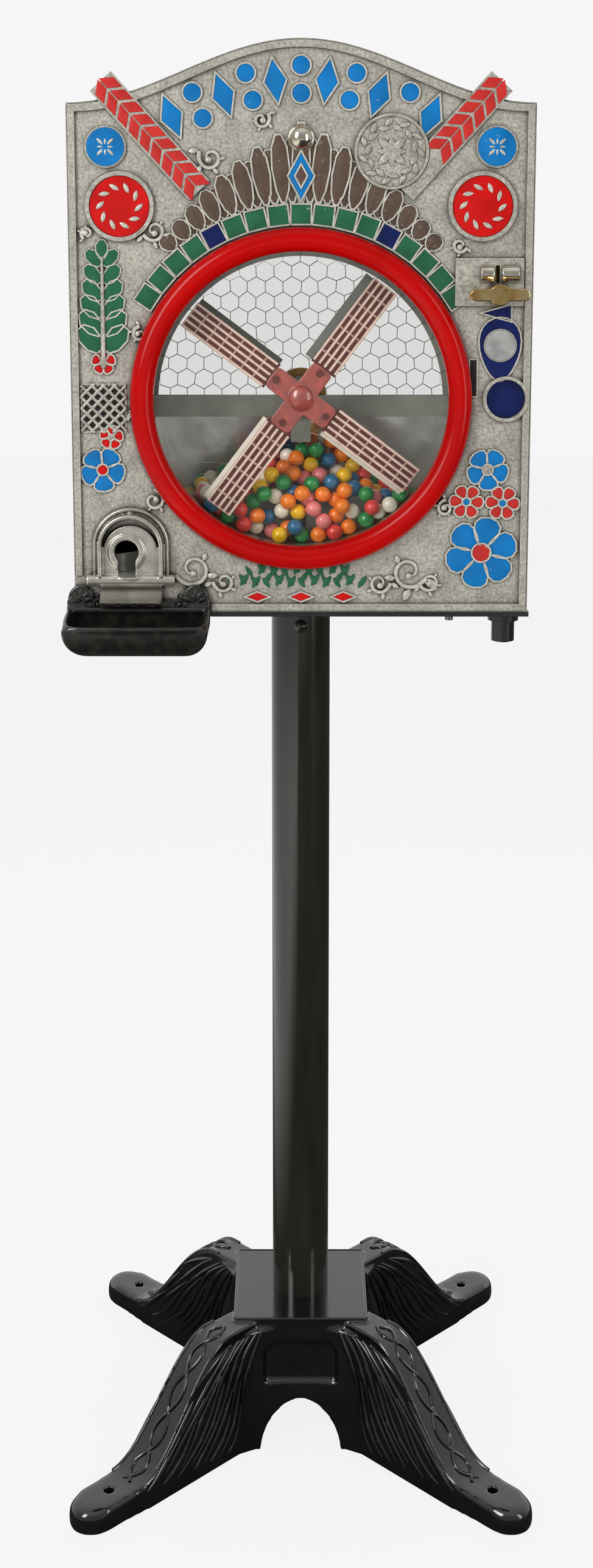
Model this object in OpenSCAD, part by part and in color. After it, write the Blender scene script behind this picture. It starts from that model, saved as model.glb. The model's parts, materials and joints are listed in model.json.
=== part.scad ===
// Penny ball-gum vendor on a cast-iron stand, with a turning wheel of sails behind a round window.
// Sizes in millimetres. Origin on the floor under the pole, +Z up, front of the machine towards -Y.

/* [Stand] */
// Distance of each toe centre from the pole, along X and along Y
toe_offset = 168.3; // [160:0.1:176]
// Radius of each toe
toe_r = 19; // [16:0.5:21]
// Height of the base casting
base_h = 113; // [108:1:120]
// Side of the square top plate of the base
base_plate_w = 114; // [106:1:122]
// Outside diameter of the pole
pole_d = 48.3; // [44:0.1:54]
// Wall thickness of the pole
pole_wall = 3.2; // [2:0.1:4]
// Height from the floor to the top of the bottom plate
stand_h = 735.5; // [700:0.5:770]

/* [Cabinet] */
// Width of the front casting
head_w = 353; // [352:0.5:356]
// Height of the front casting at its shoulders
head_h = 388.5; // [384:0.5:400]
// Rise of the arched top above the shoulders
arch_rise = 47; // [35:1:55]
// Distance of the front face ahead of the pole axis
front_reach = 90; // [90:0.5:92]
// Distance of the cabinet's rear edge behind the pole axis
rear_reach = 88; // [86:0.5:96]
// Thickness of the front casting
casting_t = 7; // [6:0.5:7.5]
// Thickness of the sheet metal
sheet_t = 1.5; // [1:0.1:2]
// Thickness of the bottom plate
bottom_t = 4; // [3:0.5:6]

/* [Window] */
// Height of the window centre above the bottom plate
window_h = 165.5; // [163:0.5:168]
// Outer radius of the red bezel ring
ring_r = 131; // [129:0.5:133]
// Width of the bezel ring from its inner to its outer edge
ring_w = 18; // [15:0.5:19]
// Thickness of the window glass
glass_t = 3; // [2.5:0.5:3.5]

/* [Sail wheel] */
// Radius at the tips of the sails
sail_tip_r = 108; // [100:0.5:112]
// Width of each sail
sail_w = 22.5; // [20:0.5:26]
// Angle of the first sail above the horizontal
rotor_angle = 53; // [0:1:89]
// Lengthwise battens on each sail
batten_rows = 5; // [3:1:6]
// Crosswise battens on each sail
batten_cols = 8; // [5:1:10]
// Diameter of every shaft
shaft_d = 8; // [7:0.5:8]

/* [Coin and drive] */
// Distance of the knob axis to the right of the centre
knob_x = 149; // [147:0.5:150]
// Height of the knob axis above the bottom plate
knob_h = 246.5; // [244:0.5:250]
// Length of the wing of the knob
wing_len = 45; // [36:0.5:46]
// Radius of the ring of pegs on each peg wheel
peg_ring_r = 16; // [16:0.5:16.5]
// Pegs on each peg wheel
peg_count = 10; // [8:1:10]
// Diameter of each peg
peg_d = 3; // [2:0.1:3]

/* [Hopper and delivery] */
// Inner radius of the half-round hopper
trough_r = 118; // [116:0.5:119]
// Diameter of a gum ball
ball_d = 12.7; // [12:0.1:12.8]
// Pockets in the dispensing wheel
pocket_count = 6; // [4:1:7]
// Radius of the keyhole in the spout
keyhole_r = 9.4; // [8:0.1:10]

/* [Rear] */
// Radius of the arched opening in the rear door
door_arch_r = 122; // [110:1:124]
// Spacing of the wire mesh cells
mesh_pitch = 15; // [13:0.5:20]
// Width of a mesh wire
mesh_wire = 1.2; // [1:0.1:1.6]

/* [Hidden] */
$fn = 96;
eps = 0.01;
big = 400;

// Fits
run_gap = 0.05;
clear = 0.5;

// Stand
toe_s = toe_offset * sqrt(2);
foot_h = 21;
toe_round = 8;
ridge_h = base_h - 3;
ridge_start = 98;
ridge_end = 205;
leg_half_low = toe_r + 1;
leg_half_top = 14;
leg_inner_s = 70;
leg_wall = 9;
core_half_low = 70;
core_half_top = base_plate_w / 2;
plate_t = 14;
base_arch_half = 34;
base_arch_top = 43;
base_arch_bend = 1.75;
base_arch_step = 7.5;
core_slope = atan((core_half_low - core_half_top) / base_h);
web_r = 62;
web_top = base_h - 9;
web_steps = 8;
web_sink = 2;
panel_half = 31;
panel_low = 58;
panel_top = 93;
panel_round = 11;
panel_depth = 2.5;
foot_hole_s = 220;
foot_hole_r = 4;
ridge_steps = 14;
pole_r = pole_d / 2;
pole_bore_r = pole_r - pole_wall;
flange_t = 8;
flange_r = 45;
plate_z = stand_h - bottom_t;
flange_z = plate_z - flange_t;
spigot_len = 28;
rod_r = 6;
nut_r = 11;
nut_h = 8.5;
flange_bolt_ring = 34;
flange_bolt_r = 3;
pole_screw_z = flange_z - 13.5;
pole_screw_r = 2.5;

// Cabinet
front_y = -front_reach;
back_y = front_y + casting_t;
rear_y = rear_reach;
half_w = head_w / 2;
shoulder_z = stand_h + head_h;
arch_steps = 40;
shell_half = 174;
shell_top = shoulder_z - 12;
shell_round = 22;
bottom_half = 178;
bead_inset = 1.5;
bead_w = 5;
bead_h = 2.5;
relief_h = 2;
disc_x = 137;
disc_z = stand_h + 312;
disc_r = 26;
disc_rim = 3;
oval_x = 147;
oval_z = stand_h + 356;
oval_r = 15.5;
bar_top = [150, shoulder_z + 15.5];
bar_low = [76.6, shoulder_z - 64.8];
bar_w = 21.5;
bar_len = norm(bar_top - bar_low);
bar_angle = atan2(bar_low[1] - bar_top[1], bar_top[0] - bar_low[0]);
tip_len = 24;
medal_x = 68;
medal_z = stand_h + 352.5;
medal_r = 28;
boss_z = stand_h + 362.5;
boss_r = 10;
return_x = 157;
return_z = stand_h + 166.5;
return_r = 15;
return_rim = 2.5;
return_depth = 4.5;
gauge_x = 152;
gauge_z = stand_h + 207.5;
gauge_r = 12.6;
screw_x = 116;
screw_y = front_y + casting_t / 2;
screw_r = 2;
screw_head_r = 3.2;

// Window
window_z = stand_h + window_h;
window_r = 116;
ring_mid = ring_r - ring_w / 2;
ring_foot = 4;
glass_r = 124;
gasket_t = 1.1;
glass_y = back_y + gasket_t;
clip_count = 6;
clip_w = 12;

// Sail wheel
sail_y = -70;
sail_t = 1.2;
sail_root_r = 28;
sail_tang_w = 12;
sail_tang_r = 16;
batten_w = 2.3;
rung_w = 1.5;
batten_h = 0.8;
fold_w = [7.5, 5, 4.5, 4];
fold_angle = 18;
fold_set = 0.3;
fold_lap = 0.8;
fold_end = 1;
hub_r = 29;
hub_arm_w = 18.5;
hub_corner = 4;
hub_t = 2.5;
hub_boss_r = 9.5;
hub_boss_t = 4;
hub_dome_r = 13.5;
hub_dome_in = 9.7;
rivet_ring = 24;
rivet_r = 1.8;
rivet_head_r = 3;
rivet_head_h = 1.2;
shaft_r = shaft_d / 2;
bar_y = -36;
bar_t = 6;
bar_tab = 12;
bar_z0 = window_z - 18;
bar_z1 = window_z - 1;
bush_r = 7;
lug_r = 14;

// Peg-wheel drive
knob_z = stand_h + knob_h;
peg_disc_r = 20;
peg_disc_t = 4;
peg_len = 11;
peg_below = 9;
peg_above = 4;
rotor_disc_y = -peg_ring_r - peg_len / 2 - peg_disc_t;
knob_disc_y = -71;
drive_y = knob_disc_y + peg_disc_t + peg_len / 2 + peg_ring_r;
drive_mesh_z = knob_z - peg_ring_r;
spindle_mesh_z = window_z - peg_ring_r;
pulley_z = stand_h + 16.5;
pulley_h = 8;
pulley_r = 14;
pulley_rim_r = 18.5;
pulley_rim_t = 1.5;
belt_t = 2;
belt_gap = 0.3;
belt_inset = 1;
tab_t = 4;
tab_low_z = stand_h + 36;
tab_high_z = drive_mesh_z - peg_below - peg_disc_t - 8;
tab_half = 9;
strip_t = 2;

// Knob and coin works
coin_plate_w = 52;
coin_plate_h = 36;
coin_plate_t = 3.5;
coin_plate_x = 143;
coin_plate_z = knob_z + 9;
coin_bush_r = 8;
wing_half = 4.5;
wing_y0 = front_y - 26;
wing_y1 = front_y - 14;
knob_hub_r = 8;
cheek_r = 6.5;
cheek_z = knob_z + 15;
coin_slot_w = 3;
coin_slot_h = 20;
coin_wheel_y = back_y + 1.5;
coin_wheel_t = 4;
coin_wheel_r = 14;
coin_r = 9.6;
coin_chute_x = 122;
coin_chute_w = 22;
coin_chute_t = 5;
coin_chute_wall = 1;
coin_chute_y = -62;
coin_chute_top = knob_z - 10;
coin_chute_bend = stand_h + 124.5;

// Hopper and delivery
hopper_y0 = -62;
hopper_y1 = 78;
hopper_rim_z = window_z - 20;
hopper_glass_t = 2.5;
hopper_glass_z = window_z - 51;
flange_y0 = 4;
wheel_r = 36.9;
wheel_z = stand_h + 37.5;
wheel_t = 9;
pocket_r = 7;
house_r = 40;
house_wall = 2.4;
house_floor_t = 3;
house_z = wheel_z - 1 - house_floor_t;
house_boss_r = 9;
house_boss_h = 7;
post_r = 4;
post_ring = 33;
strap_z = window_z - 39;
strap_t = 4;
strap_half = 8;
ball_r = ball_d / 2;
ball_step = ball_d + 0.4;
ball_row = ball_step * sqrt(3) / 2;
ball_y0 = hopper_y0 + ball_r + 0.4;
ball_layers = 9;
heap_front_z = window_z - 73;
heap_rise = 40;
heap_half_x = 60;
heap_half_y = 48;
spout_x = -132;
spout_z = stand_h + 53;
spout_half = 29.6;
spout_low = stand_h + 29.5;
spout_flange = 4.5;
spout_flange_t = 4;
spout_bead_r = 1.6;
spout_depth = 14;
spout_band = 3;
spout_plate_half = 21.4;
spout_plate_drop = 5;
spout_plate_t = 9;
collar_w = 4.5;
collar_t = 1.5;
keyhole_x = -135;
keyhole_z = stand_h + 48.5;
throat_half = 6.8;
throat_z = stand_h + 31.5;
lip_half = 24;
lip_drop = 19;
mould_half = 34;
mould_r = 4.5;
mould_drop = 3;
chute_start = [-35, -21];
chute_half = 8.5;
chute_wall = 1.2;
chute_side_h = 13;
chute_z0 = wheel_z - 2.7;
chute_z1 = throat_z - 0.5;
cup_x0 = -182;
cup_x1 = -71;
cup_front = front_y - 50;
cup_low = stand_h - 28.5;
cup_lip = stand_h - 4.5;
cup_back = stand_h + 2.5;
cup_wall = 4;
cup_round_x = 22;
cup_round_y = 20;
cup_ledge_r = 3;
cup_plate_t = 7;
cup_plate_top = stand_h + 10;
lobe_r = 10;
lobe_z = stand_h + 17;
lobe_inset = 11;

// Rear
door_half = 160;
door_z0 = stand_h + 48.5;
door_z1 = shell_top - 16;
door_t = 2.5;
door_y = rear_y + clear;
door_sill_z = window_z - 16;
opening_half = 152;
hinge_x = -167;
hinge_y = rear_y + 5;
hinge_pin_r = 1.75;
hinge_ball_r = 2.4;
knuckle_r = 3.5;
knuckle_h = 13;
knuckle_gap = 0.4;
hinge_len = 3 * knuckle_h + 2 * knuckle_gap;
hinge_z = [stand_h + 110, stand_h + 280];
drawer_x0 = 60;
drawer_x1 = 165;
drawer_y0 = 10;
drawer_h = 40;
drawer_z0 = stand_h + clear;
coin_chute_low = drawer_z0 + drawer_h + 6;
drawer_face_t = 2;
drawer_wall = 1.5;
lock_x = 160;
lock_y = -71;
lock_sleeve_r = 9;
lock_flange_r = 12;
lock_flange_t = 6;
lock_low = stand_h - 26.5;
lock_top = stand_h + 10;
lock_barrel_r = 6;
cam_t = 3;
cam_len = 10;
cam_half = 4;
cam_z = lock_top + 1.5;
keeper_z = cam_z + cam_t + 1;

// A sheet drawn in the front view, with its front face at y
module front_sheet(y, t) {
  translate([0, y + t, 0]) rotate([90, 0, 0]) linear_extrude(t) children();
}

// A sheet drawn in the side view (y across, z up), from x0 to x1
module side_sheet(x0, x1) {
  translate([x0, 0, 0]) rotate([90, 0, 90]) linear_extrude(x1 - x0) children();
}

// A round bar along Y
module y_rod(x, z, y0, y1, r) {
  translate([x, y1, z]) rotate([90, 0, 0]) cylinder(h = y1 - y0, r = r);
}

// A round bar along Z
module z_rod(x, y, z0, z1, r) {
  translate([x, y, z0]) cylinder(h = z1 - z0, r = r);
}

// A block between two corners
module block(x0, x1, y0, y1, z0, z1) {
  translate([x0, y0, z0]) cube([x1 - x0, y1 - y0, z1 - z0]);
}

// A square corner with its round taken away, for rounding off an outline at the origin
module round_off(r) {
  difference() {
    translate([-1, -1]) square(r + 1);
    translate([r, r]) circle(r);
  }
}

// Height of the leg's ridge at distance s from the pole
function ridge_z(s) =
  s <= ridge_start ? ridge_h :
  s >= ridge_end ? foot_h :
  foot_h + (ridge_h - foot_h) * (1 + cos(180 * (s - ridge_start) / (ridge_end - ridge_start))) / 2;

// Side view of a leg, lowered by drop for its hollow underside
module leg_side(s0, s1, drop) {
  ridge = [for (i = [0 : ridge_steps])
    let (s = ridge_end + (ridge_start - ridge_end) * i / ridge_steps) [s, ridge_z(s) - drop]];
  polygon(concat([[s0, -1], [s1, -1], [s1, foot_h - drop]], ridge, [[s0, ridge_h - drop]]));
}

module leg() {
  intersection() {
    rotate([90, 0, 0]) linear_extrude(2 * leg_half_low, center = true) leg_side(leg_inner_s, toe_s, 0);
    rotate([90, 0, 90]) linear_extrude(toe_s + 1)
      polygon([[-leg_half_low, 0], [leg_half_low, 0], [leg_half_top, base_h], [-leg_half_top, base_h]]);
  }
  translate([toe_s, 0, 0]) rotate_extrude() {
    square([toe_r - toe_round, foot_h]);
    square([toe_r, foot_h - toe_round]);
    translate([toe_r - toe_round, foot_h - toe_round]) intersection() {
      circle(toe_round);
      square(toe_round);
    }
  }
}

// Tapered square block of the base, drawn in by inset, between two heights
module base_core(inset, low, top) {
  hull() {
    translate([0, 0, low]) linear_extrude(eps) square(2 * (core_half_low - inset), center = true);
    translate([0, 0, top - eps]) linear_extrude(eps) square(2 * (core_half_top - inset), center = true);
  }
}

// Half the width of the base's core at height z
function core_half(z) = core_half_low + (core_half_top - core_half_low) * z / base_h;

// Rounded inner corner between the front of the core and the leg on its right, seen from above
module web_plan() {
  half = leg_half_low - web_sink;
  corner = [core_half_low - half * sqrt(2), -core_half_low];
  centre = corner - [web_r * tan(22.5), web_r];
  polygon(concat([corner + [web_sink, web_sink]],
    [for (i = [0 : web_steps]) let (a = 90 - 45 * i / web_steps) centre + web_r * [cos(a), sin(a)]]));
}

// Webs that run from the legs into the four sides of the core
module base_webs() {
  for (a = [0 : 90 : 270], s = [0, 1]) rotate(a) mirror([s, 0, 0])
    linear_extrude(web_top, scale = core_half(web_top) / core_half_low) web_plan();
}

// Front view of the sunk panel on each side of the core
module panel_view() {
  h = panel_top - panel_low;
  x = panel_half - panel_round;
  translate([-panel_half, panel_low]) square([2 * panel_half, h - panel_round]);
  translate([-x, panel_low]) square([2 * x, h]);
  for (s = [-1, 1]) translate([s * x, panel_top - panel_round]) circle(panel_round);
}

// Front view of the bell-shaped arch through the base
module base_arch_view() {
  power = 2 / base_arch_bend;
  polygon([for (a = [0 : base_arch_step : 180])
    [base_arch_half * sign(cos(a)) * pow(abs(cos(a)), power), base_arch_top * pow(sin(a), power)]]);
  translate([-base_arch_half, -1]) square([2 * base_arch_half, 1 + eps]);
}

module base_casting() {
  color("#0d0d0d") difference() {
    union() {
      base_core(0, 0, base_h);
      base_webs();
      for (a = [45 : 90 : 315]) rotate(a) leg();
    }
    base_core(leg_wall, -1, base_h - plate_t);
    for (a = [0 : 90 : 270]) rotate(a) translate([0, -core_half_low, 0]) rotate([-core_slope, 0, 0])
      front_sheet(-web_r, web_r + panel_depth) panel_view();
    for (a = [45 : 90 : 315]) rotate(a) {
      rotate([90, 0, 0]) linear_extrude(leg_half_low, center = true)
        leg_side(leg_inner_s - leg_wall, ridge_end - leg_wall, leg_wall);
      z_rod(foot_hole_s, 0, -1, base_h, foot_hole_r);
    }
    for (a = [0, 90]) rotate(a) front_sheet(-big / 2, big) base_arch_view();
    z_rod(0, 0, 0, base_h + 1, rod_r);
  }
}

module pole() {
  color("#1c1c18") difference() {
    z_rod(0, 0, base_h, flange_z, pole_r);
    z_rod(0, 0, base_h - 1, flange_z + 1, pole_bore_r);
    y_rod(0, pole_screw_z, -pole_r - 1, 0, pole_screw_r);
  }
}

module flange_bolt_places() {
  for (a = [45 : 90 : 315]) rotate(a) translate([flange_bolt_ring, 0, 0]) children();
}

module top_flange() {
  color("#141412") difference() {
    union() {
      z_rod(0, 0, flange_z, plate_z, flange_r);
      z_rod(0, 0, flange_z - spigot_len, flange_z, pole_bore_r);
    }
    z_rod(0, 0, 0, stand_h, rod_r);
    y_rod(0, pole_screw_z, -pole_r, -pole_r + 9, pole_screw_r);
    flange_bolt_places() z_rod(0, 0, flange_z - 1, plate_z + 1, flange_bolt_r);
  }
}

module tie_rod() {
  color("#8d8d88") z_rod(0, 0, base_h - plate_t - nut_h - 3, stand_h + nut_h + 2, rod_r);
}

module tie_rod_nuts() {
  color("#8d8d88") for (z = [base_h - plate_t - nut_h, stand_h]) difference() {
    translate([0, 0, z]) cylinder(h = nut_h, r = nut_r, $fn = 6);
    z_rod(0, 0, z - 1, z + nut_h + 1, rod_r);
  }
}

module pole_screw() {
  color("#20201d") {
    y_rod(0, pole_screw_z, -pole_r, -pole_r + 9, pole_screw_r);
    intersection() {
      translate([0, -pole_r + 2, pole_screw_z]) sphere(6);
      y_rod(0, pole_screw_z, -big, -pole_r, 5.5);
    }
  }
}

module flange_bolts() {
  color("#55554f") flange_bolt_places() {
    z_rod(0, 0, flange_z, stand_h + 4, flange_bolt_r);
    translate([0, 0, flange_z - 3.5]) cylinder(h = 3.5, r = 5.5, $fn = 6);
  }
}

module bottom_plate() {
  color("#161614") difference() {
    block(-bottom_half, bottom_half, front_y, rear_y + 2, plate_z, stand_h);
    z_rod(0, 0, 0, big * 2, rod_r);
    z_rod(lock_x, lock_y, 0, big * 2, lock_sleeve_r);
    flange_bolt_places() z_rod(0, 0, 0, big * 2, flange_bolt_r);
    for (x = [-screw_x, screw_x]) z_rod(x, screw_y, 0, big * 2, screw_r);
  }
}

module bottom_screws() {
  color("#8d8d88") for (x = [-screw_x, screw_x]) {
    z_rod(x, screw_y, plate_z, stand_h + 10, screw_r);
    z_rod(x, screw_y, plate_z - 3, plate_z, screw_head_r);
  }
}

// Front view of the cabinet, drawn in by inset
module shell_outline(inset) {
  r = shell_round - inset;
  w = shell_half - inset;
  x = shell_half - shell_round;
  z = shell_top - shell_round;
  translate([-w, stand_h]) square([2 * w, z - stand_h]);
  translate([-x, stand_h]) square([2 * x, shell_top - inset - stand_h]);
  for (s = [-1, 1]) translate([s * x, z]) circle(r);
}

module cabinet_shell() {
  color("#1b1b19") {
    front_sheet(back_y, rear_y - back_y) difference() {
      shell_outline(0);
      shell_outline(sheet_t);
    }
    front_sheet(rear_y - sheet_t, sheet_t) difference() {
      shell_outline(0);
      translate([-opening_half, door_z0 + 6]) square([2 * opening_half, door_z1 - door_z0 - 12]);
      translate([drawer_x0 - 1, stand_h]) square([drawer_x1 - drawer_x0 + 2, drawer_h + 2]);
    }
  }
}

// Outline of the front casting: straight sides under a cosine arch, drawn in by inset
function casting_points(inset) =
  let (w = half_w - inset)
  concat([[-w, stand_h + inset], [w, stand_h + inset]],
    [for (i = [0 : arch_steps]) let (u = 1 - 2 * i / arch_steps)
      [w * u, shoulder_z - inset + arch_rise * (1 + cos(180 * u)) / 2]]);

// One of the two slanting bars, len long from its outer end
module slant_bar(side, len) {
  mirror([side > 0 ? 0 : 1, 0]) translate(bar_top) rotate(180 - bar_angle)
    translate([0, -bar_w / 2]) square([len, bar_w]);
}

module casting_relief() {
  front_sheet(front_y - bead_h, bead_h) difference() {
    polygon(casting_points(bead_inset));
    polygon(casting_points(bead_inset + bead_w));
    for (s = [-1, 1]) slant_bar(s, bar_len);
  }
  front_sheet(front_y - relief_h, relief_h) difference() {
    for (s = [-1, 1]) slant_bar(s, bar_len);
    translate([medal_x, medal_z]) circle(medal_r + clear);
  }
  for (s = [-1, 1]) {
    y_rod(s * disc_x, disc_z, front_y - relief_h, front_y, disc_r);
    front_sheet(front_y - relief_h - 1.5, 1.5) translate([s * disc_x, disc_z]) difference() {
      circle(disc_r);
      circle(disc_r - disc_rim);
    }
    y_rod(s * oval_x, oval_z, front_y - relief_h, front_y, oval_r);
  }
  y_rod(return_x, return_z, front_y - relief_h - 1, front_y, return_r + return_rim);
  y_rod(gauge_x, gauge_z, front_y - relief_h, front_y, gauge_r);
}

module spout_hole() {
  translate([keyhole_x, keyhole_z]) circle(keyhole_r + 1);
  translate([keyhole_x - chute_half - chute_wall, throat_z - 2])
    square([2 * (chute_half + chute_wall), keyhole_z - throat_z + 2]);
}

module front_casting() {
  color("#98948a") difference() {
    union() {
      front_sheet(front_y, casting_t) difference() {
        union() {
          polygon(casting_points(0));
          for (s = [-1, 1]) slant_bar(s, tip_len);
        }
        translate([0, window_z]) circle(window_r);
        spout_hole();
      }
      casting_relief();
      block(lock_x - 10, lock_x + 10, back_y, lock_y + 1, keeper_z, keeper_z + 6);
    }
    y_rod(knob_x, knob_z, front_y - 5, back_y + 1, coin_bush_r);
    y_rod(return_x, return_z, front_y - 5, front_y + return_depth, return_r);
    block(cup_x0 - 1, cup_x1 + 1, front_y - 5, front_y, stand_h - 1, lobe_z + lobe_r + 2);
    front_sheet(front_y - 1, casting_t + 2) translate([knob_x - coin_slot_w / 2, cheek_z - coin_slot_h / 2])
      square([coin_slot_w, coin_slot_h]);
    for (x = [-screw_x, screw_x]) z_rod(x, screw_y, stand_h - 1, stand_h + 10, screw_r);
  }
}

module round_plate() {
  color("#8f8c83") {
    y_rod(medal_x, medal_z, front_y - relief_h, front_y, medal_r);
    front_sheet(front_y - relief_h - 1, 1) translate([medal_x, medal_z]) difference() {
      circle(medal_r);
      circle(medal_r - 2);
    }
  }
}

module top_boss() {
  color("#d8d5cc") {
    y_rod(0, boss_z, front_y - 2, front_y, boss_r);
    intersection() {
      translate([0, front_y + 2, boss_z]) sphere(boss_r);
      y_rod(0, boss_z, front_y - big, front_y - 2, boss_r);
    }
  }
}

module window_ring() {
  color("#c60505") translate([0, front_y, window_z]) rotate([90, 0, 0]) rotate_extrude() {
    translate([ring_r - ring_w, 0]) square([ring_w, ring_foot]);
    intersection() {
      translate([ring_mid, ring_foot]) circle(ring_w / 2);
      translate([ring_r - ring_w, 0]) square([ring_w, ring_w]);
    }
  }
}

module window_glass() {
  color("#d7e3df", 0.3) y_rod(0, window_z, glass_y, glass_y + glass_t, glass_r);
}

module glass_gasket() {
  color("#262624") front_sheet(back_y, gasket_t) translate([0, window_z]) difference() {
    circle(glass_r);
    circle(window_r);
  }
}

module glass_clips() {
  color("#8d8d88") translate([0, 0, window_z]) for (i = [0 : clip_count - 1])
    rotate([0, (i + 0.5) * 360 / clip_count, 0]) {
      block(glass_r + 0.3, glass_r + 10, back_y, glass_y + glass_t + 2, -clip_w / 2, clip_w / 2);
      block(glass_r - 5, glass_r + 10, glass_y + glass_t, glass_y + glass_t + 2, -clip_w / 2, clip_w / 2);
    }
}

module coin_plate() {
  color("#a39f95") difference() {
    union() {
      front_sheet(front_y - coin_plate_t, coin_plate_t) translate([coin_plate_x, coin_plate_z])
        square([coin_plate_w, coin_plate_h], center = true);
      y_rod(knob_x, knob_z, front_y - coin_plate_t - 1, back_y + 0.5, coin_bush_r);
    }
    y_rod(knob_x, knob_z, front_y - big, 0, shaft_r + run_gap);
    front_sheet(front_y - big / 2, big) translate([knob_x - coin_slot_w / 2, cheek_z - cheek_r])
      square([coin_slot_w, 2 * cheek_r]);
  }
}

module coin_entry() {
  y = front_y - coin_plate_t;
  color("#dedad0") for (x = [[knob_x - 13, knob_x - 3], [knob_x + 3, knob_x + 16]]) intersection() {
    translate([x[0], y, cheek_z]) rotate([0, 90, 0]) cylinder(h = x[1] - x[0], r = cheek_r);
    block(x[0], x[1], y - cheek_r, y, cheek_z - cheek_r, cheek_z + cheek_r);
  }
}

// Round-topped arch of the spout, half wide, with its centre at z
module spout_arch(half, z) {
  translate([spout_x, z]) circle(half);
  translate([spout_x - half, spout_low]) square([2 * half, z - spout_low]);
}

// Round bead along the edge of the spout's flange
module spout_bead() {
  r = spout_half - spout_bead_r;
  y = front_y - spout_flange_t;
  translate([spout_x, y, spout_z]) rotate([90, 0, 0]) rotate_extrude(angle = 180)
    translate([r, 0]) circle(spout_bead_r);
  for (s = [-1, 1]) z_rod(spout_x + s * r, y, spout_low, spout_z, spout_bead_r);
}

module delivery_spout() {
  plate_y = front_y - spout_plate_t;
  color("#cbc7bc") difference() {
    union() {
      front_sheet(front_y - spout_flange_t, spout_flange_t) spout_arch(spout_half, spout_z);
      spout_bead();
      front_sheet(front_y - spout_depth, spout_depth) difference() {
        spout_arch(spout_half - spout_flange, spout_z);
        spout_arch(spout_half - spout_flange - spout_band, spout_z);
      }
      front_sheet(plate_y, spout_plate_t) spout_arch(spout_plate_half, spout_z - spout_plate_drop);
      y_rod(keyhole_x, keyhole_z, plate_y - collar_t, plate_y, keyhole_r + collar_w);
      translate([spout_x - mould_half, plate_y, spout_low - mould_drop]) rotate([0, 90, 0])
        cylinder(h = 2 * mould_half, r = mould_r);
      block(spout_x - mould_half, spout_x + mould_half, plate_y, front_y,
        spout_low - mould_drop - mould_r, spout_low);
      side_sheet(spout_x - lip_half, spout_x + lip_half) difference() {
        translate([front_y - lip_drop - 4, spout_low - lip_drop]) square([lip_drop + 4, lip_drop]);
        translate([front_y - lip_drop - 4, spout_low]) circle(lip_drop);
      }
    }
    front_sheet(front_y - big / 2, big) {
      translate([keyhole_x, keyhole_z]) circle(keyhole_r);
      translate([keyhole_x - throat_half, throat_z]) square([2 * throat_half, keyhole_z - throat_z]);
    }
  }
}

// Front view of the cup, drawn in by inset
module cup_front_view(inset) {
  r = cup_round_x - inset;
  translate([cup_x0 + inset, cup_low + inset]) difference() {
    square([cup_x1 - cup_x0 - 2 * inset, big / 4]);
    round_off(r);
    translate([cup_x1 - cup_x0 - 2 * inset, 0]) mirror([1, 0]) round_off(r);
  }
}

// Side view of the cup, drawn in by inset and open upwards where open is true
module cup_side_view(inset, open) {
  y0 = cup_front + inset;
  z0 = cup_low + inset;
  difference() {
    polygon(open
      ? [[y0, z0], [front_y - inset, z0], [front_y - inset, stand_h + 20], [y0, stand_h + 20]]
      : [[y0, z0], [front_y, z0], [front_y, cup_back], [front_y - cup_plate_t, cup_back], [y0, cup_lip]]);
    translate([y0, z0]) round_off(cup_round_y - inset);
  }
}

module cup_tray() {
  color("#2a2925") {
    difference() {
      intersection() {
        front_sheet(cup_front, front_y - cup_front) cup_front_view(0);
        side_sheet(cup_x0, cup_x1) cup_side_view(0, false);
      }
      intersection() {
        front_sheet(cup_front - 1, front_y - cup_front - cup_plate_t + 1) cup_front_view(cup_wall);
        side_sheet(cup_x0, cup_x1) cup_side_view(cup_wall, true);
      }
    }
    translate([cup_x0, front_y - cup_plate_t, cup_back]) rotate([0, 90, 0])
      cylinder(h = cup_x1 - cup_x0, r = cup_ledge_r);
    front_sheet(front_y - cup_plate_t, cup_plate_t) {
      translate([cup_x0, cup_lip]) square([cup_x1 - cup_x0, cup_plate_top - cup_lip]);
      for (x = [cup_x0 + lobe_inset, cup_x1 - lobe_inset])
        translate([x, lobe_z - lobe_r / 2]) circle(lobe_r);
    }
  }
}

module crossbar() {
  end = shell_half - sheet_t;
  color("#5c5e59") difference() {
    union() {
      block(-end, end, bar_y, bar_y + bar_t, bar_z0, bar_z1);
      y_rod(0, window_z, bar_y, bar_y + bar_t, lug_r);
      for (s = [0, 1]) mirror([s, 0, 0])
        block(end - strip_t, end, bar_y + bar_t, bar_y + bar_t + bar_tab, bar_z0, bar_z1);
    }
    y_rod(0, window_z, bar_y - 1, bar_y + bar_t + 1, bush_r);
  }
}

module rotor_bush() {
  color("#a8833f") difference() {
    y_rod(0, window_z, bar_y - 4, bar_y + bar_t + 3, bush_r);
    y_rod(0, window_z, bar_y - 5, bar_y + bar_t + 4, shaft_r + run_gap);
  }
}

// The hopper's outline in the front view, cut level at a height
module trough_view(top_z) {
  intersection() {
    circle(trough_r + sheet_t);
    translate([-big, -big]) square([2 * big, big + top_z - window_z]);
  }
}

module hopper() {
  end = shell_half - sheet_t;
  back = hopper_y1 - sheet_t;
  color("#a9aca8") difference() {
    union() {
      front_sheet(hopper_y0, back - hopper_y0) translate([0, window_z]) difference() {
        trough_view(hopper_rim_z);
        circle(trough_r);
      }
      for (s = [0, 1]) mirror([s, 0, 0])
        block(trough_r - 1, end, flange_y0, back, hopper_rim_z - sheet_t, hopper_rim_z);
    }
    z_rod(0, 0, 0, window_z, house_r + 0.2);
  }
}

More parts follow.
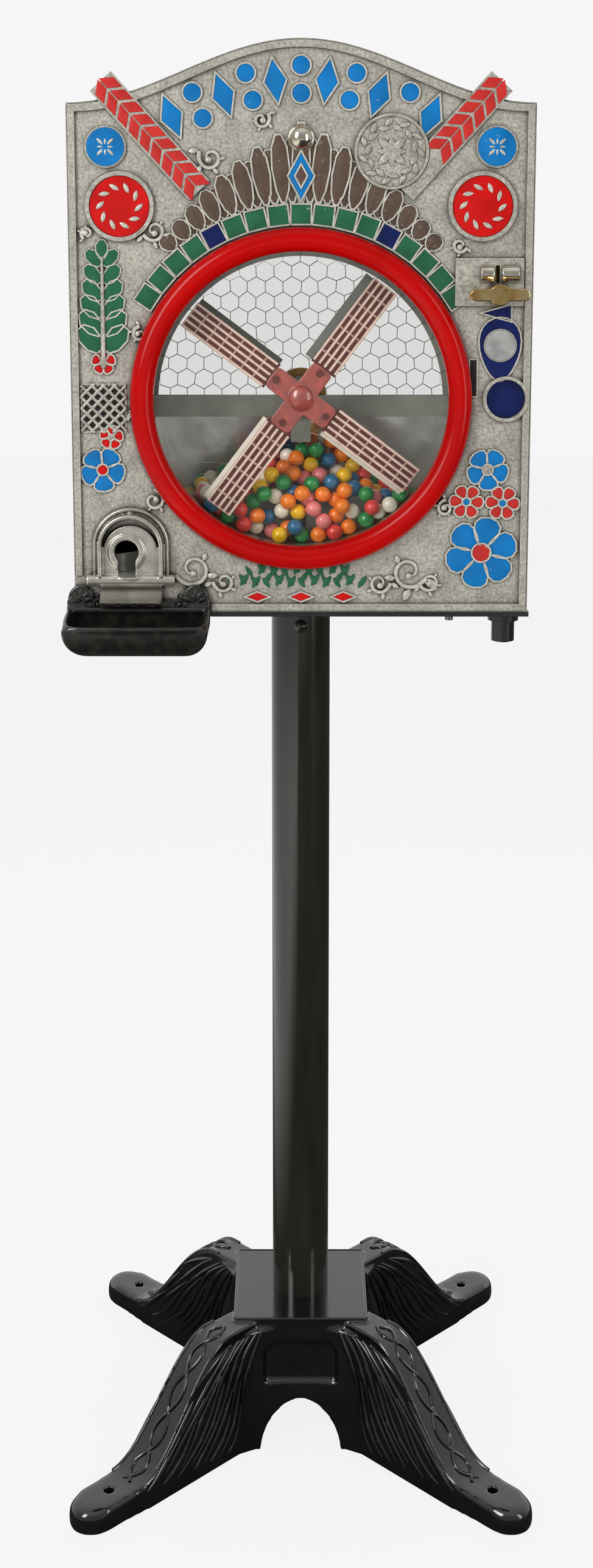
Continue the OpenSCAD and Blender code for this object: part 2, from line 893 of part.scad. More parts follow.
// The half-round sheet that closes the trough at the back
module hopper_end() {
  color("#a9aca8") front_sheet(hopper_y1 - sheet_t, sheet_t)
    translate([0, window_z]) trough_view(hopper_rim_z);
}

module hopper_glass() {
  color("#d7e3df", 0.3) front_sheet(hopper_y0 - hopper_glass_t, hopper_glass_t)
    translate([0, window_z]) trough_view(hopper_glass_z);
}

// Height of the heap of gum balls at a place in the hopper
function heap_z(x, y) = heap_front_z + heap_rise * exp(-pow(x / heap_half_x, 2) - pow(y / heap_half_y, 2));

// True where a ball fits: in the heap's outer layers, clear of the hopper, the spindle and its strap
function ball_fits(x, y, z) =
  norm([x, z - window_z]) <= trough_r - ball_r - 0.2
  && z <= heap_z(x, y)
  && (y < ball_y0 + 1 || z > heap_z(x, y) - 1.15 * ball_row)
  && norm([x, y]) > shaft_r + ball_r + 1
  && !(abs(x) < strap_half + ball_r + 1 && abs(y + 10) < 28 && z > strap_z - ball_r - 1)
  && !(norm([x, y]) < peg_disc_r + ball_r + 1 && z > strap_z - ball_r);

module gumballs() {
  color("#d98a3a") for (j = [0 : ball_layers], k = [0 : 8], i = [-9 : 9]) {
    x = ball_step * (i + (k % 2) / 2);
    y = ball_y0 + ball_step * j;
    z = window_z - trough_r + ball_r + 0.4 + ball_row * k;
    if (ball_fits(x, y, z)) translate([x, y, z]) sphere(ball_r);
  }
}

module wheel_housing() {
  exit_angle = atan2(back_y - chute_start[1], keyhole_x - chute_start[0]);
  color("#8f9290") difference() {
    union() {
      z_rod(0, 0, house_z, window_z - trough_r + 8, house_r);
      z_rod(0, 0, house_z - house_boss_h, house_z, house_boss_r);
      for (a = [90 : 90 : 270]) rotate(a) z_rod(post_ring, 0, stand_h, house_z, post_r);
    }
    z_rod(0, 0, house_z + house_floor_t, window_z, house_r - house_wall);
    z_rod(0, 0, 0, window_z, shaft_r + run_gap);
    y_rod(0, window_z, -big, big, trough_r);
    rotate(exit_angle) block(10, house_r + 5, -chute_half, chute_half, chute_z0, window_z);
  }
}

module spindle_bracket() {
  color("#5c5e59") difference() {
    union() {
      block(-strap_half, strap_half, bar_y + bar_t, strap_half + 2, strap_z, strap_z + strap_t);
      block(-strap_half, strap_half, bar_y + bar_t, bar_y + bar_t + 3, strap_z, bar_z0 + 8);
    }
    z_rod(0, 0, 0, window_z, shaft_r + run_gap);
  }
}

module delivery_chute() {
  run = [keyhole_x, back_y] - chute_start;
  len = norm(run);
  slope = atan2(chute_z0 - chute_z1, len);
  turn = atan2(run[1], run[0]);
  w = chute_half + chute_wall;
  color("#8f9290") difference() {
    translate([chute_start[0], chute_start[1], chute_z0]) rotate([0, slope, turn]) difference() {
      block(0, len + 20, -w, w, -chute_wall, chute_side_h);
      block(-1, len + 21, -chute_half, chute_half, 0, chute_side_h + 1);
    }
    block(-big, 0, -big, back_y, 0, window_z);
    z_rod(0, 0, 0, window_z, house_r);
  }
}

// Side view of the coin chute, a straight drop and then a slide towards the rear
module coin_chute_side(inset) {
  w = coin_chute_w / 2 - inset;
  turn = w * tan(22.5);
  run = coin_chute_bend - coin_chute_low + inset;
  top = coin_chute_top + inset;
  polygon([[coin_chute_y - w, top], [coin_chute_y + w, top], [coin_chute_y + w, coin_chute_bend + turn],
    [coin_chute_y + run + w + turn, coin_chute_bend - run],
    [coin_chute_y + run - w - turn, coin_chute_bend - run], [coin_chute_y - w, coin_chute_bend - turn]]);
}

module coin_chute() {
  color("#8f9290") difference() {
    side_sheet(coin_chute_x, coin_chute_x + coin_chute_t) coin_chute_side(0);
    side_sheet(coin_chute_x + coin_chute_wall, coin_chute_x + coin_chute_t - coin_chute_wall)
      coin_chute_side(coin_chute_wall);
  }
}

module drive_bracket() {
  end = shell_half - sheet_t;
  color("#5c5e59") difference() {
    union() {
      for (z = [tab_low_z, tab_high_z])
        block(knob_x - tab_half, end, drive_y - tab_half, drive_y + tab_half, z, z + tab_t);
      block(end - strip_t, end, drive_y - tab_half, drive_y + tab_half, tab_low_z, tab_high_z + tab_t);
    }
    z_rod(knob_x, drive_y, 0, knob_z, shaft_r + run_gap);
  }
}

// Loop around the two pulleys at radius r
module belt_loop(r) {
  run = [knob_x, drive_y];
  circle(r);
  translate(run) circle(r);
  rotate(atan2(run[1], run[0])) translate([0, -r]) square([norm(run), 2 * r]);
}

module drive_belt() {
  h = pulley_h - 2 * belt_inset;
  color("#2b221c") translate([0, 0, pulley_z + belt_inset]) linear_extrude(h) difference() {
    belt_loop(pulley_r + belt_gap + belt_t);
    belt_loop(pulley_r + belt_gap);
  }
}

module lock_body() {
  color("#3a3833") difference() {
    union() {
      z_rod(lock_x, lock_y, lock_low, lock_top, lock_sleeve_r);
      z_rod(lock_x, lock_y, plate_z - lock_flange_t, plate_z, lock_flange_r);
    }
    z_rod(lock_x, lock_y, 0, big * 2, lock_barrel_r + run_gap);
  }
}

module hinge_leaves() {
  color("#3a3833") for (z = hinge_z) difference() {
    union() {
      block(-shell_half, hinge_x - 1.5, rear_y, rear_y + 1.5, z, z + hinge_len);
      for (k = [0, 2]) {
        z0 = z + k * (knuckle_h + knuckle_gap);
        z_rod(hinge_x, hinge_y, z0, z0 + knuckle_h, knuckle_r);
        block(hinge_x - 3, hinge_x + 3, rear_y, hinge_y, z0, z0 + knuckle_h);
      }
    }
    z_rod(hinge_x, hinge_y, z - 1, z + hinge_len + 1, hinge_pin_r);
  }
}

module hinge_pins() {
  color("#b9b6ad") for (z = hinge_z) {
    z_rod(hinge_x, hinge_y, z, z + hinge_len + hinge_ball_r, hinge_pin_r);
    translate([hinge_x, hinge_y, z + hinge_len + hinge_ball_r]) sphere(hinge_ball_r);
  }
}

// Turn a piece drawn along +X in the front view to the angle a about the axis of the sail wheel
module on_rotor(a) {
  translate([0, 0, window_z]) rotate([0, -a, 0]) children();
}

// One sail at the angle a, with a strip of the width fold turned back along one side
module sail(a, side, fold) {
  len = sail_tip_r - sail_root_r;
  step_x = (len - rung_w) / (batten_cols - 1);
  step_z = (sail_w - batten_w) / (batten_rows - 1);
  y1 = sail_y + sail_t;
  color("#93735f") on_rotor(a) difference() {
    union() {
      block(sail_root_r, sail_tip_r, sail_y, y1, -sail_w / 2, sail_w / 2);
      block(sail_tang_r, sail_root_r + 1, sail_y, y1, -sail_tang_w / 2, sail_tang_w / 2);
      for (i = [1 : batten_cols - 1]) translate([sail_root_r + i * step_x, sail_y - batten_h, -sail_w / 2])
        cube([rung_w, batten_h, sail_w]);
      for (k = [0 : batten_rows - 1])
        translate([hub_r + 1, sail_y - batten_h, -sail_w / 2 + k * step_z])
          cube([sail_tip_r - hub_r - 1, batten_h, batten_w]);
      translate([sail_root_r + fold_end, sail_y + fold_set, side * (sail_w / 2 - fold_lap)])
        rotate([side * -fold_angle, 0, 0]) translate([0, 0, side > 0 ? 0 : -fold])
          cube([len - 2 * fold_end, sail_t - fold_set, fold]);
    }
    y_rod(rivet_ring, 0, sail_y - 1, y1 + 1, rivet_r);
  }
}

module sail_1() sail(rotor_angle, 1, fold_w[0]);
module sail_2() sail(rotor_angle + 90, -1, fold_w[1]);
module sail_3() sail(rotor_angle + 180, -1, fold_w[2]);
module sail_4() sail(rotor_angle + 270, -1, fold_w[3]);

module rotor_hub() {
  arm = hub_r - hub_corner;
  half = hub_arm_w / 2 - hub_corner;
  color("#84463f") translate([0, 0, window_z]) difference() {
    union() {
      front_sheet(sail_y - hub_t, hub_t) for (k = [0 : 3]) rotate(rotor_angle + 90 * k) {
        translate([0, -hub_arm_w / 2]) square([arm, hub_arm_w]);
        translate([0, -half]) square([hub_r, 2 * half]);
        for (s = [-1, 1]) translate([arm, s * half]) circle(hub_corner);
      }
      y_rod(0, 0, sail_y - hub_boss_t, sail_y, hub_boss_r);
      intersection() {
        translate([0, sail_y - hub_boss_t + hub_dome_in, 0]) sphere(hub_dome_r);
        y_rod(0, 0, sail_y - hub_dome_r, sail_y - hub_boss_t, hub_boss_r);
      }
    }
    y_rod(0, 0, sail_y - hub_boss_t + 1, 0, shaft_r);
    for (k = [0 : 3]) rotate([0, -rotor_angle - 90 * k, 0])
      y_rod(rivet_ring, 0, sail_y - big, 0, rivet_r);
  }
}

module hub_rivets() {
  color("#7a3c37") for (k = [0 : 3]) on_rotor(rotor_angle + 90 * k) {
    y_rod(rivet_ring, 0, sail_y - hub_t, sail_y + sail_t, rivet_r);
    y_rod(rivet_ring, 0, sail_y - hub_t - rivet_head_h, sail_y - hub_t, rivet_head_r);
    y_rod(rivet_ring, 0, sail_y + sail_t, sail_y + sail_t + rivet_head_h, rivet_head_r);
  }
}

module rotor_shaft() {
  color("#8d8d88") y_rod(0, window_z, sail_y - hub_boss_t + 1, rotor_disc_y + peg_disc_t, shaft_r);
}

// Disc on a shaft along Z with a ring of pegs standing on it, the first peg at the angle a
module peg_wheel(len, a) {
  difference() {
    union() {
      cylinder(h = peg_disc_t, r = peg_disc_r);
      for (k = [0 : peg_count - 1]) rotate(a + k * 360 / peg_count)
        translate([peg_ring_r, 0, peg_disc_t - 1]) cylinder(h = len + 1, d = peg_d);
    }
    translate([0, 0, -1]) cylinder(h = peg_disc_t + 2, r = shaft_r);
  }
}

// The upright wheel of a pair has a peg at its lowest point, the flat wheel a gap in front
module upright_peg_wheel() rotate([-90, 0, 0]) peg_wheel(peg_len, 90);
module flat_peg_wheel() peg_wheel(peg_below + peg_above, -90 + 180 / peg_count);

module rotor_peg_wheel() {
  color("#a8833f") translate([0, rotor_disc_y, window_z]) upright_peg_wheel();
}

module wing_knob() {
  color("#d9d3c2") difference() {
    union() {
      y_rod(knob_x, knob_z, wing_y1 - 2, front_y - coin_plate_t - 1.4, knob_hub_r);
      front_sheet(wing_y0, wing_y1 - wing_y0) translate([knob_x, knob_z]) {
        square([wing_len - 2 * wing_half, 2 * wing_half], center = true);
        for (s = [-1, 1]) translate([s * (wing_len / 2 - wing_half), 0]) circle(wing_half);
        circle(knob_hub_r);
      }
    }
    y_rod(knob_x, knob_z, wing_y1 - 6, 0, shaft_r);
  }
}

module knob_shaft() {
  color("#8d8d88") y_rod(knob_x, knob_z, wing_y1 - 6, knob_disc_y + peg_disc_t, shaft_r);
}

module coin_wheel() {
  color("#a8833f") difference() {
    y_rod(knob_x, knob_z, coin_wheel_y, coin_wheel_y + coin_wheel_t, coin_wheel_r);
    y_rod(knob_x, knob_z, -big, 0, shaft_r);
    y_rod(knob_x, knob_z + coin_wheel_r, -big, coin_wheel_y + coin_wheel_t - 2, coin_r - 1);
  }
}

module knob_peg_wheel() {
  color("#a8833f") translate([knob_x, knob_disc_y, knob_z]) upright_peg_wheel();
}

module drive_shaft() {
  color("#8d8d88") z_rod(knob_x, drive_y, stand_h + 9, drive_mesh_z - peg_below, shaft_r);
}

module drive_peg_wheel() {
  color("#a8833f") translate([knob_x, drive_y, drive_mesh_z - peg_below - peg_disc_t]) flat_peg_wheel();
}

module pulley() {
  difference() {
    union() {
      cylinder(h = pulley_h, r = pulley_r);
      for (z = [-pulley_rim_t, pulley_h]) translate([0, 0, z]) cylinder(h = pulley_rim_t, r = pulley_rim_r);
    }
    translate([0, 0, -big / 2]) cylinder(h = big, r = shaft_r);
  }
}

module drive_pulley() {
  color("#a8833f") translate([knob_x, drive_y, pulley_z]) pulley();
}

module dispensing_wheel() {
  color("#b08d4a") translate([0, 0, wheel_z]) difference() {
    cylinder(h = wheel_t, r = wheel_r);
    translate([0, 0, -1]) cylinder(h = wheel_t + 2, r = shaft_r);
    for (k = [0 : pocket_count - 1]) rotate(k * 360 / pocket_count)
      translate([wheel_r - pocket_r + 1, 0, -1]) {
        cylinder(h = wheel_t + 2, r = pocket_r);
        translate([0, -pocket_r, 0]) cube([2 * pocket_r, 2 * pocket_r, wheel_t + 2]);
      }
  }
}

module wheel_spindle() {
  color("#8d8d88") z_rod(0, 0, pulley_z - pulley_rim_t - 2, spindle_mesh_z - peg_below, shaft_r);
}

module spindle_peg_wheel() {
  color("#a8833f") translate([0, 0, spindle_mesh_z - peg_below - peg_disc_t]) flat_peg_wheel();
}

module spindle_pulley() {
  color("#a8833f") translate([0, 0, pulley_z]) pulley();
}

module rear_door() {
  color("#1b1b19") difference() {
    union() {
      front_sheet(door_y, door_t) difference() {
        translate([-door_half, door_z0]) square([2 * door_half, door_z1 - door_z0]);
        intersection() {
          translate([0, door_sill_z]) circle(door_arch_r);
          translate([-big, door_sill_z]) square([2 * big, big]);
        }
      }
      for (z = hinge_z) {
        z0 = z + knuckle_h + knuckle_gap;
        z_rod(hinge_x, hinge_y, z0, z0 + knuckle_h, knuckle_r);
        block(hinge_x, 1 - door_half, door_y + 0.4, door_y + door_t, z0, z0 + knuckle_h);
      }
    }
    for (z = hinge_z) z_rod(hinge_x, hinge_y, z, z + hinge_len, hinge_pin_r + run_gap);
  }
}

module door_mesh() {
  edge = 4;
  row = mesh_pitch * sqrt(3) / 2;
  cell_r = (mesh_pitch - mesh_wire) / sqrt(3);
  color("#9a9d98") front_sheet(door_y - mesh_wire, mesh_wire) translate([0, door_sill_z]) difference() {
    intersection() {
      circle(door_arch_r + edge);
      translate([-big, -edge]) square([2 * big, big]);
    }
    intersection() {
      circle(door_arch_r);
      translate([-big, 0]) square([2 * big, big]);
      for (k = [0 : 9], i = [-9 : 9]) {
        x = mesh_pitch * (i + (k % 2) / 2);
        z = row * (k + 0.4);
        if (norm([x, z]) < door_arch_r + 1) translate([x, z]) rotate(30) circle(cell_r, $fn = 6);
      }
    }
  }
}

module door_knob() {
  y = door_y + door_t;
  color("#3a3833") {
    y_rod(opening_half - 12, window_z - 60, y, y + 8, 3.5);
    y_rod(opening_half - 12, window_z - 60, y + 8, y + 14, 8);
  }
}

module cash_drawer() {
  y1 = rear_y + drawer_face_t;
  z1 = drawer_z0 + drawer_h;
  color("#6f716c") difference() {
    union() {
      block(drawer_x0, drawer_x1, drawer_y0, y1, drawer_z0, z1);
      block(drawer_x0 - 4, drawer_x1 + 4, rear_y + clear, y1, drawer_z0, z1 + 4);
      y_rod((drawer_x0 + drawer_x1) / 2, drawer_z0 + drawer_h / 2, y1, y1 + 9, 5);
    }
    block(drawer_x0 + drawer_wall, drawer_x1 - drawer_wall, drawer_y0 + drawer_wall,
      rear_y - drawer_wall, drawer_z0 + drawer_wall, z1 + 9);
  }
}

module lock_barrel() {
  color("#b9b6ad") difference() {
    union() {
      z_rod(lock_x, lock_y, lock_low - 1, cam_z + cam_t, lock_barrel_r);
      block(lock_x - cam_half, lock_x + cam_half, lock_y - cam_len, lock_y, cam_z, cam_z + cam_t);
    }
    block(lock_x - 3, lock_x + 3, lock_y - 0.8, lock_y + 0.8, 0, lock_low + 8);
  }
}

base_casting();
pole();
top_flange();
tie_rod();
tie_rod_nuts();
pole_screw();
flange_bolts();
bottom_plate();
bottom_screws();
cabinet_shell();
front_casting();
round_plate();
top_boss();
window_ring();
window_glass();
glass_gasket();
glass_clips();
coin_plate();
coin_entry();
delivery_spout();
cup_tray();
crossbar();
rotor_bush();
hopper();
hopper_end();
hopper_glass();
gumballs();
wheel_housing();
spindle_bracket();
delivery_chute();
coin_chute();
drive_bracket();
drive_belt();
lock_body();
hinge_leaves();
hinge_pins();
rotor_hub();
sail_1();
sail_2();
sail_3();
sail_4();
hub_rivets();
rotor_shaft();
rotor_peg_wheel();
wing_knob();
knob_shaft();
coin_wheel();
knob_peg_wheel();
drive_shaft();
drive_peg_wheel();
drive_pulley();
dispensing_wheel();
wheel_spindle();
spindle_peg_wheel();
spindle_pulley();
rear_door();
door_mesh();
door_knob();
cash_drawer();
lock_barrel();
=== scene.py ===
"""Looks of a gum ball vendor on a cast-iron stand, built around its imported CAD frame.

Sizes in the classes are millimetres in the part's own frame: origin on the floor under the pole, +Z up, the
front of the machine towards -Y. Blender works in metres, so MM turns one into the other.
"""

import json
import logging
import math
import random
from dataclasses import dataclass, field
from enum import Enum
from typing import Any, Callable, ClassVar, Iterable, Sequence

import bpy
from mathutils import Matrix, Vector

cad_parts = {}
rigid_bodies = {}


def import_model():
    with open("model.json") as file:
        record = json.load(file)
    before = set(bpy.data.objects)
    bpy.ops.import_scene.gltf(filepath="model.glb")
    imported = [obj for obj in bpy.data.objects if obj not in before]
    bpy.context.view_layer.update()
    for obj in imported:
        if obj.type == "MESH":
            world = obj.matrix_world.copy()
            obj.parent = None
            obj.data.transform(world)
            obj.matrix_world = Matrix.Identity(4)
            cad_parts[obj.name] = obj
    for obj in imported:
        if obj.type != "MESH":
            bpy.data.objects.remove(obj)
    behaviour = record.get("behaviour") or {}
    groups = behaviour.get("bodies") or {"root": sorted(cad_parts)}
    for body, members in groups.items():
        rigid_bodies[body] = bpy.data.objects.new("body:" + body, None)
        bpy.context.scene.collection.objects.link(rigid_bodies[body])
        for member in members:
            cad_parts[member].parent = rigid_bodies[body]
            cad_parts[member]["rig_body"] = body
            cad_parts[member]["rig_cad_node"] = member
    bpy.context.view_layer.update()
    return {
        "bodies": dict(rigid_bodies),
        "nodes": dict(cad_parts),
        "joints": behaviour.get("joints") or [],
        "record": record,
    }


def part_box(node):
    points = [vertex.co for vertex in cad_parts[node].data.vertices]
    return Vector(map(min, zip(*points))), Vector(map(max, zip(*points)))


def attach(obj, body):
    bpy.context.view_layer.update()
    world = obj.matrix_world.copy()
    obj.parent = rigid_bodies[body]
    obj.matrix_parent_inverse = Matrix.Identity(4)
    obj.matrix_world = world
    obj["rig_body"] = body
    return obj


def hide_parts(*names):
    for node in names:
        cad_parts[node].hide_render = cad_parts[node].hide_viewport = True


MM = 0.001
LOG = logging.getLogger("vendor")
Obj = bpy.types.Object
Mat = bpy.types.Material
Tree = bpy.types.NodeTree
Point = Sequence[float]


class Body(str, Enum):
    """The bodies of the part that pieces ride on."""

    MACHINE = "machine"
    ROTOR = "rotor"
    KNOB = "knob"
    DOOR = "door"


class Slot(str, Enum):
    """The record's material slots that pieces take their finish from."""

    IRON = "iron_black"
    BLACK = "black_enamel"
    CAST = "cast_aluminium"
    HUB = "hub_paint"
    BRIGHT = "bright_metal"
    SPOUT = "polished_aluminium"
    STEEL = "steel"
    GUM = "gum"


class Paint(str, Enum):
    """Enamel and metal colours, as sRGB hex values read from the machine."""

    RED = "B80404"
    TILE_RED = "B42A26"
    BLUE = "0669A8"
    GREEN = "235C40"
    NAVY = "111E50"
    BROWN = "54443A"
    ALUMINIUM = "B4B0A5"
    # Next two: edges brightened as wear and painted highlight, hollows darkened as patina and painted shade
    BRIGHT_EDGE = "DAD6CB"
    RECESS_DARK = "2E2C27"
    IRON_BLACK = "070707"
    ENAMEL_BLACK = "121211"
    POLE_BLACK = "171812"
    TIN = "D6D8D4"
    NICKEL = "E3DED2"
    BRASS = "A87F3C"
    STEEL = "8C8C86"
    BAR_GREY = "7E8078"
    SAIL_RED = "54201B"
    SAIL_BATTEN = "AE8C80"
    SAIL_LINE = "DAC5B9"
    # Sail fold colours: painted shade on the upper sails, painted highlight on the lower ones
    FOLD_PAINTED_SHADE = "33372F"
    FOLD_PAINTED_HIGHLIGHT = "C8BEB2"
    HUB_RED = "A5443B"
    RUBBER = "8B8C85"
    LEATHER = "2B221C"


def linear(value: str) -> tuple[float, float, float, float]:
    """Turn an sRGB hex colour into linear RGBA.

    Args:
        value: Six hex digits.

    Returns:
        Red, green, blue and an alpha of 1.
    """
    parts = [int(value[i:i + 2], 16) / 255 for i in (0, 2, 4)]
    red, green, blue = [c / 12.92 if c <= 0.04045 else ((c + 0.055) / 1.055) ** 2.4 for c in parts]
    return red, green, blue, 1.0


def per_mm(size: float) -> float:
    """Scale of a texture whose features are size millimetres wide, on Object coordinates in metres."""
    return 1.0 / (size * MM)


def add_node(tree: Tree, kind: str, values: dict[Any, Any] | None = None, links: dict[Any, Any] | None = None,
             **settings: Any) -> bpy.types.Node:
    """Add a shader node.

    Args:
        tree: The material's node tree.
        kind: The node's type name.
        values: Plain values for its input sockets, by name or index.
        links: Output sockets that feed its inputs, by name or index.
        settings: Properties of the node itself.

    Returns:
        The new node.
    """
    node = tree.nodes.new(kind)
    for name, value in settings.items():
        setattr(node, name, value)
    for key, value in (values or {}).items():
        node.inputs[key].default_value = value
    for key, socket in (links or {}).items():
        tree.links.new(socket, node.inputs[key])
    return node


def ranged(tree: Tree, value: Any, low: float, high: float, to_low: float = 0.0, to_high: float = 1.0) -> Any:
    """Map a socket's range from low..high to to_low..to_high and return the new socket."""
    return add_node(tree, "ShaderNodeMapRange", {"From Min": low, "From Max": high, "To Min": to_low,
                                                 "To Max": to_high}, {"Value": value}).outputs[0]


def tinted(tree: Tree, colour: Any, tint: str, share: Any) -> Any:
    """Mix a tint into a colour.

    Args:
        tree: The material's node tree.
        colour: A colour socket, or the hex digits of a plain colour.
        tint: Hex digits of the tint.
        share: The socket that says how much of the tint shows.

    Returns:
        The mixed colour's socket.
    """
    plain = isinstance(colour, str)
    values = {7: linear(tint), **({6: linear(colour)} if plain else {})}
    links = {0: share, **({} if plain else {6: colour})}
    return add_node(tree, "ShaderNodeMix", values, links, data_type="RGBA").outputs[2]


@dataclass(frozen=True)
class Finish:
    """A surface finish that becomes one material, made the first time it is asked for."""

    label: str
    made: ClassVar[dict[str, Mat]] = {}

    def material(self) -> Mat:
        """Return this finish's material."""
        if self.label not in Finish.made:
            mat = bpy.data.materials.new(self.label)
            mat.use_nodes = True
            tree = mat.node_tree
            coords = add_node(tree, "ShaderNodeTexCoord").outputs["Object"]
            self.wire(tree, tree.nodes["Principled BSDF"], coords)
            Finish.made[self.label] = mat
        return Finish.made[self.label]

    def wire(self, tree: Tree, shader: bpy.types.Node, coords: Any) -> None:
        """Connect the nodes of the finish.

        Args:
            tree: The material's node tree.
            shader: Its Principled shader.
            coords: The socket with Object coordinates.
        """
        raise NotImplementedError


@dataclass(frozen=True)
class MottledFinish(Finish):
    """A colour that varies in soft blotches, with a fine grain and edges rounded by the shader.

    Fields: base and spot colours, blotch and grain sizes in millimetres, the grain's depth and how much it
    speckles the colour, the shader's metallic, roughness, coat and gloss, the radius of a rounded edge, the colour that
    edges are brightened to as wear and painted highlight, and the colour that recesses within a reach are darkened
    to as grime and painted shade.
    """

    base: str = "808080"
    spot: str = "606060"
    blotch: float = 18.0
    spot_share: float = 0.55
    grain: float = 1.5
    grain_depth: float = 0.05
    speck: float = 0.0
    metallic: float = 0.0
    roughness: float = 0.4
    rough_spread: float = 0.12
    coat: float = 0.0
    gloss: float = 0.5
    edge: float = 0.0
    edge_wear_and_highlight: str = ""
    recess: str = ""
    recess_reach: float = 4.0
    stretch: tuple[float, float, float] = (1.0, 1.0, 1.0)

    def wire(self, tree: Tree, shader: bpy.types.Node, coords: Any) -> None:
        """Connect blotches, speckles, edges brightened as wear and painted highlight, recesses darkened as grime and
        painted shade, grain and rounded edges to the shader.
        """
        place = add_node(tree, "ShaderNodeMapping", {"Scale": self.stretch}, {"Vector": coords}).outputs[0]
        blotch = add_node(tree, "ShaderNodeTexNoise", {"Scale": per_mm(self.blotch), "Detail": 5.0},
                          {"Vector": place}).outputs["Fac"]
        grain = add_node(tree, "ShaderNodeTexNoise", {"Scale": per_mm(self.grain), "Detail": 3.0},
                         {"Vector": place}).outputs["Fac"]
        share = ranged(tree, blotch, self.spot_share - 0.2, self.spot_share + 0.15)
        colour = tinted(tree, self.base, self.spot, share)
        if self.speck:
            value = ranged(tree, grain, 0.3, 0.7, 1 - self.speck, 1 + self.speck)
            colour = add_node(tree, "ShaderNodeHueSaturation", links={"Color": colour, "Value": value}).outputs[0]
        bump = {"Height": grain}
        if self.edge:
            bump["Normal"] = add_node(tree, "ShaderNodeBevel", {"Radius": self.edge * MM}, samples=4).outputs[0]
        # Brighten edges found by the bevel normal: edge wear and painted highlight
        if self.edge_wear_and_highlight:
            normal = add_node(tree, "ShaderNodeNewGeometry").outputs["Normal"]
            bend = add_node(tree, "ShaderNodeVectorMath", links={0: bump["Normal"], 1: normal},
                            operation="DOT_PRODUCT").outputs["Value"]
            colour = tinted(tree, colour, self.edge_wear_and_highlight, ranged(tree, bend, 0.985, 0.8, 0.0, 0.8))
        # Darken recesses found by ambient occlusion: grime and painted shade
        if self.recess:
            shade = add_node(tree, "ShaderNodeAmbientOcclusion", {"Distance": self.recess_reach * MM}, samples=8)
            colour = tinted(tree, colour, self.recess, ranged(tree, shade.outputs["AO"], 0.35, 0.9, 1.0, 0.0))
        tree.links.new(colour, shader.inputs["Base Color"])
        rough = ranged(tree, blotch, 0.0, 1.0, max(0.03, self.roughness - self.rough_spread),
                       self.roughness + self.rough_spread)
        tree.links.new(rough, shader.inputs["Roughness"])
        relief = add_node(tree, "ShaderNodeBump", {"Strength": 1.0, "Distance": self.grain_depth * MM}, bump)
        tree.links.new(relief.outputs[0], shader.inputs["Normal"])
        shader.inputs["Metallic"].default_value = self.metallic
        shader.inputs["Coat Weight"].default_value = self.coat
        shader.inputs["Specular IOR Level"].default_value = self.gloss
        shader.inputs["Coat Roughness"].default_value = 0.06


@dataclass(frozen=True)
class WornEnamel(Finish):
    """Brushed enamel in a cast panel: glossy, a little uneven, rubbed through to the metal in small spots."""

    base: str = "808080"
    metal: str = Paint.ALUMINIUM.value
    worn: float = 0.68
    patch: float = 5.0
    roughness: float = 0.28

    def wire(self, tree: Tree, shader: bpy.types.Node, coords: Any) -> None:
        """Connect enamel colour, rubbed spots and brush bumps."""
        patch = add_node(tree, "ShaderNodeTexNoise", {"Scale": per_mm(self.patch), "Detail": 6.0, "Roughness": 0.7},
                         {"Vector": coords}).outputs["Fac"]
        tone = add_node(tree, "ShaderNodeTexNoise", {"Scale": per_mm(self.patch * 4)}, {"Vector": coords})
        shade = add_node(tree, "ShaderNodeHueSaturation", {"Color": linear(self.base)},
                         {"Value": ranged(tree, tone.outputs["Fac"], 0.2, 0.8, 0.75, 1.25)})
        spots = ranged(tree, patch, self.worn, self.worn + 0.06)
        tree.links.new(tinted(tree, shade.outputs[0], self.metal, spots), shader.inputs["Base Color"])
        bump = add_node(tree, "ShaderNodeBump", {"Strength": 0.6, "Distance": 0.15 * MM}, {"Height": patch})
        tree.links.new(bump.outputs[0], shader.inputs["Normal"])
        shader.inputs["Roughness"].default_value = self.roughness
        shader.inputs["Specular IOR Level"].default_value = 0.2


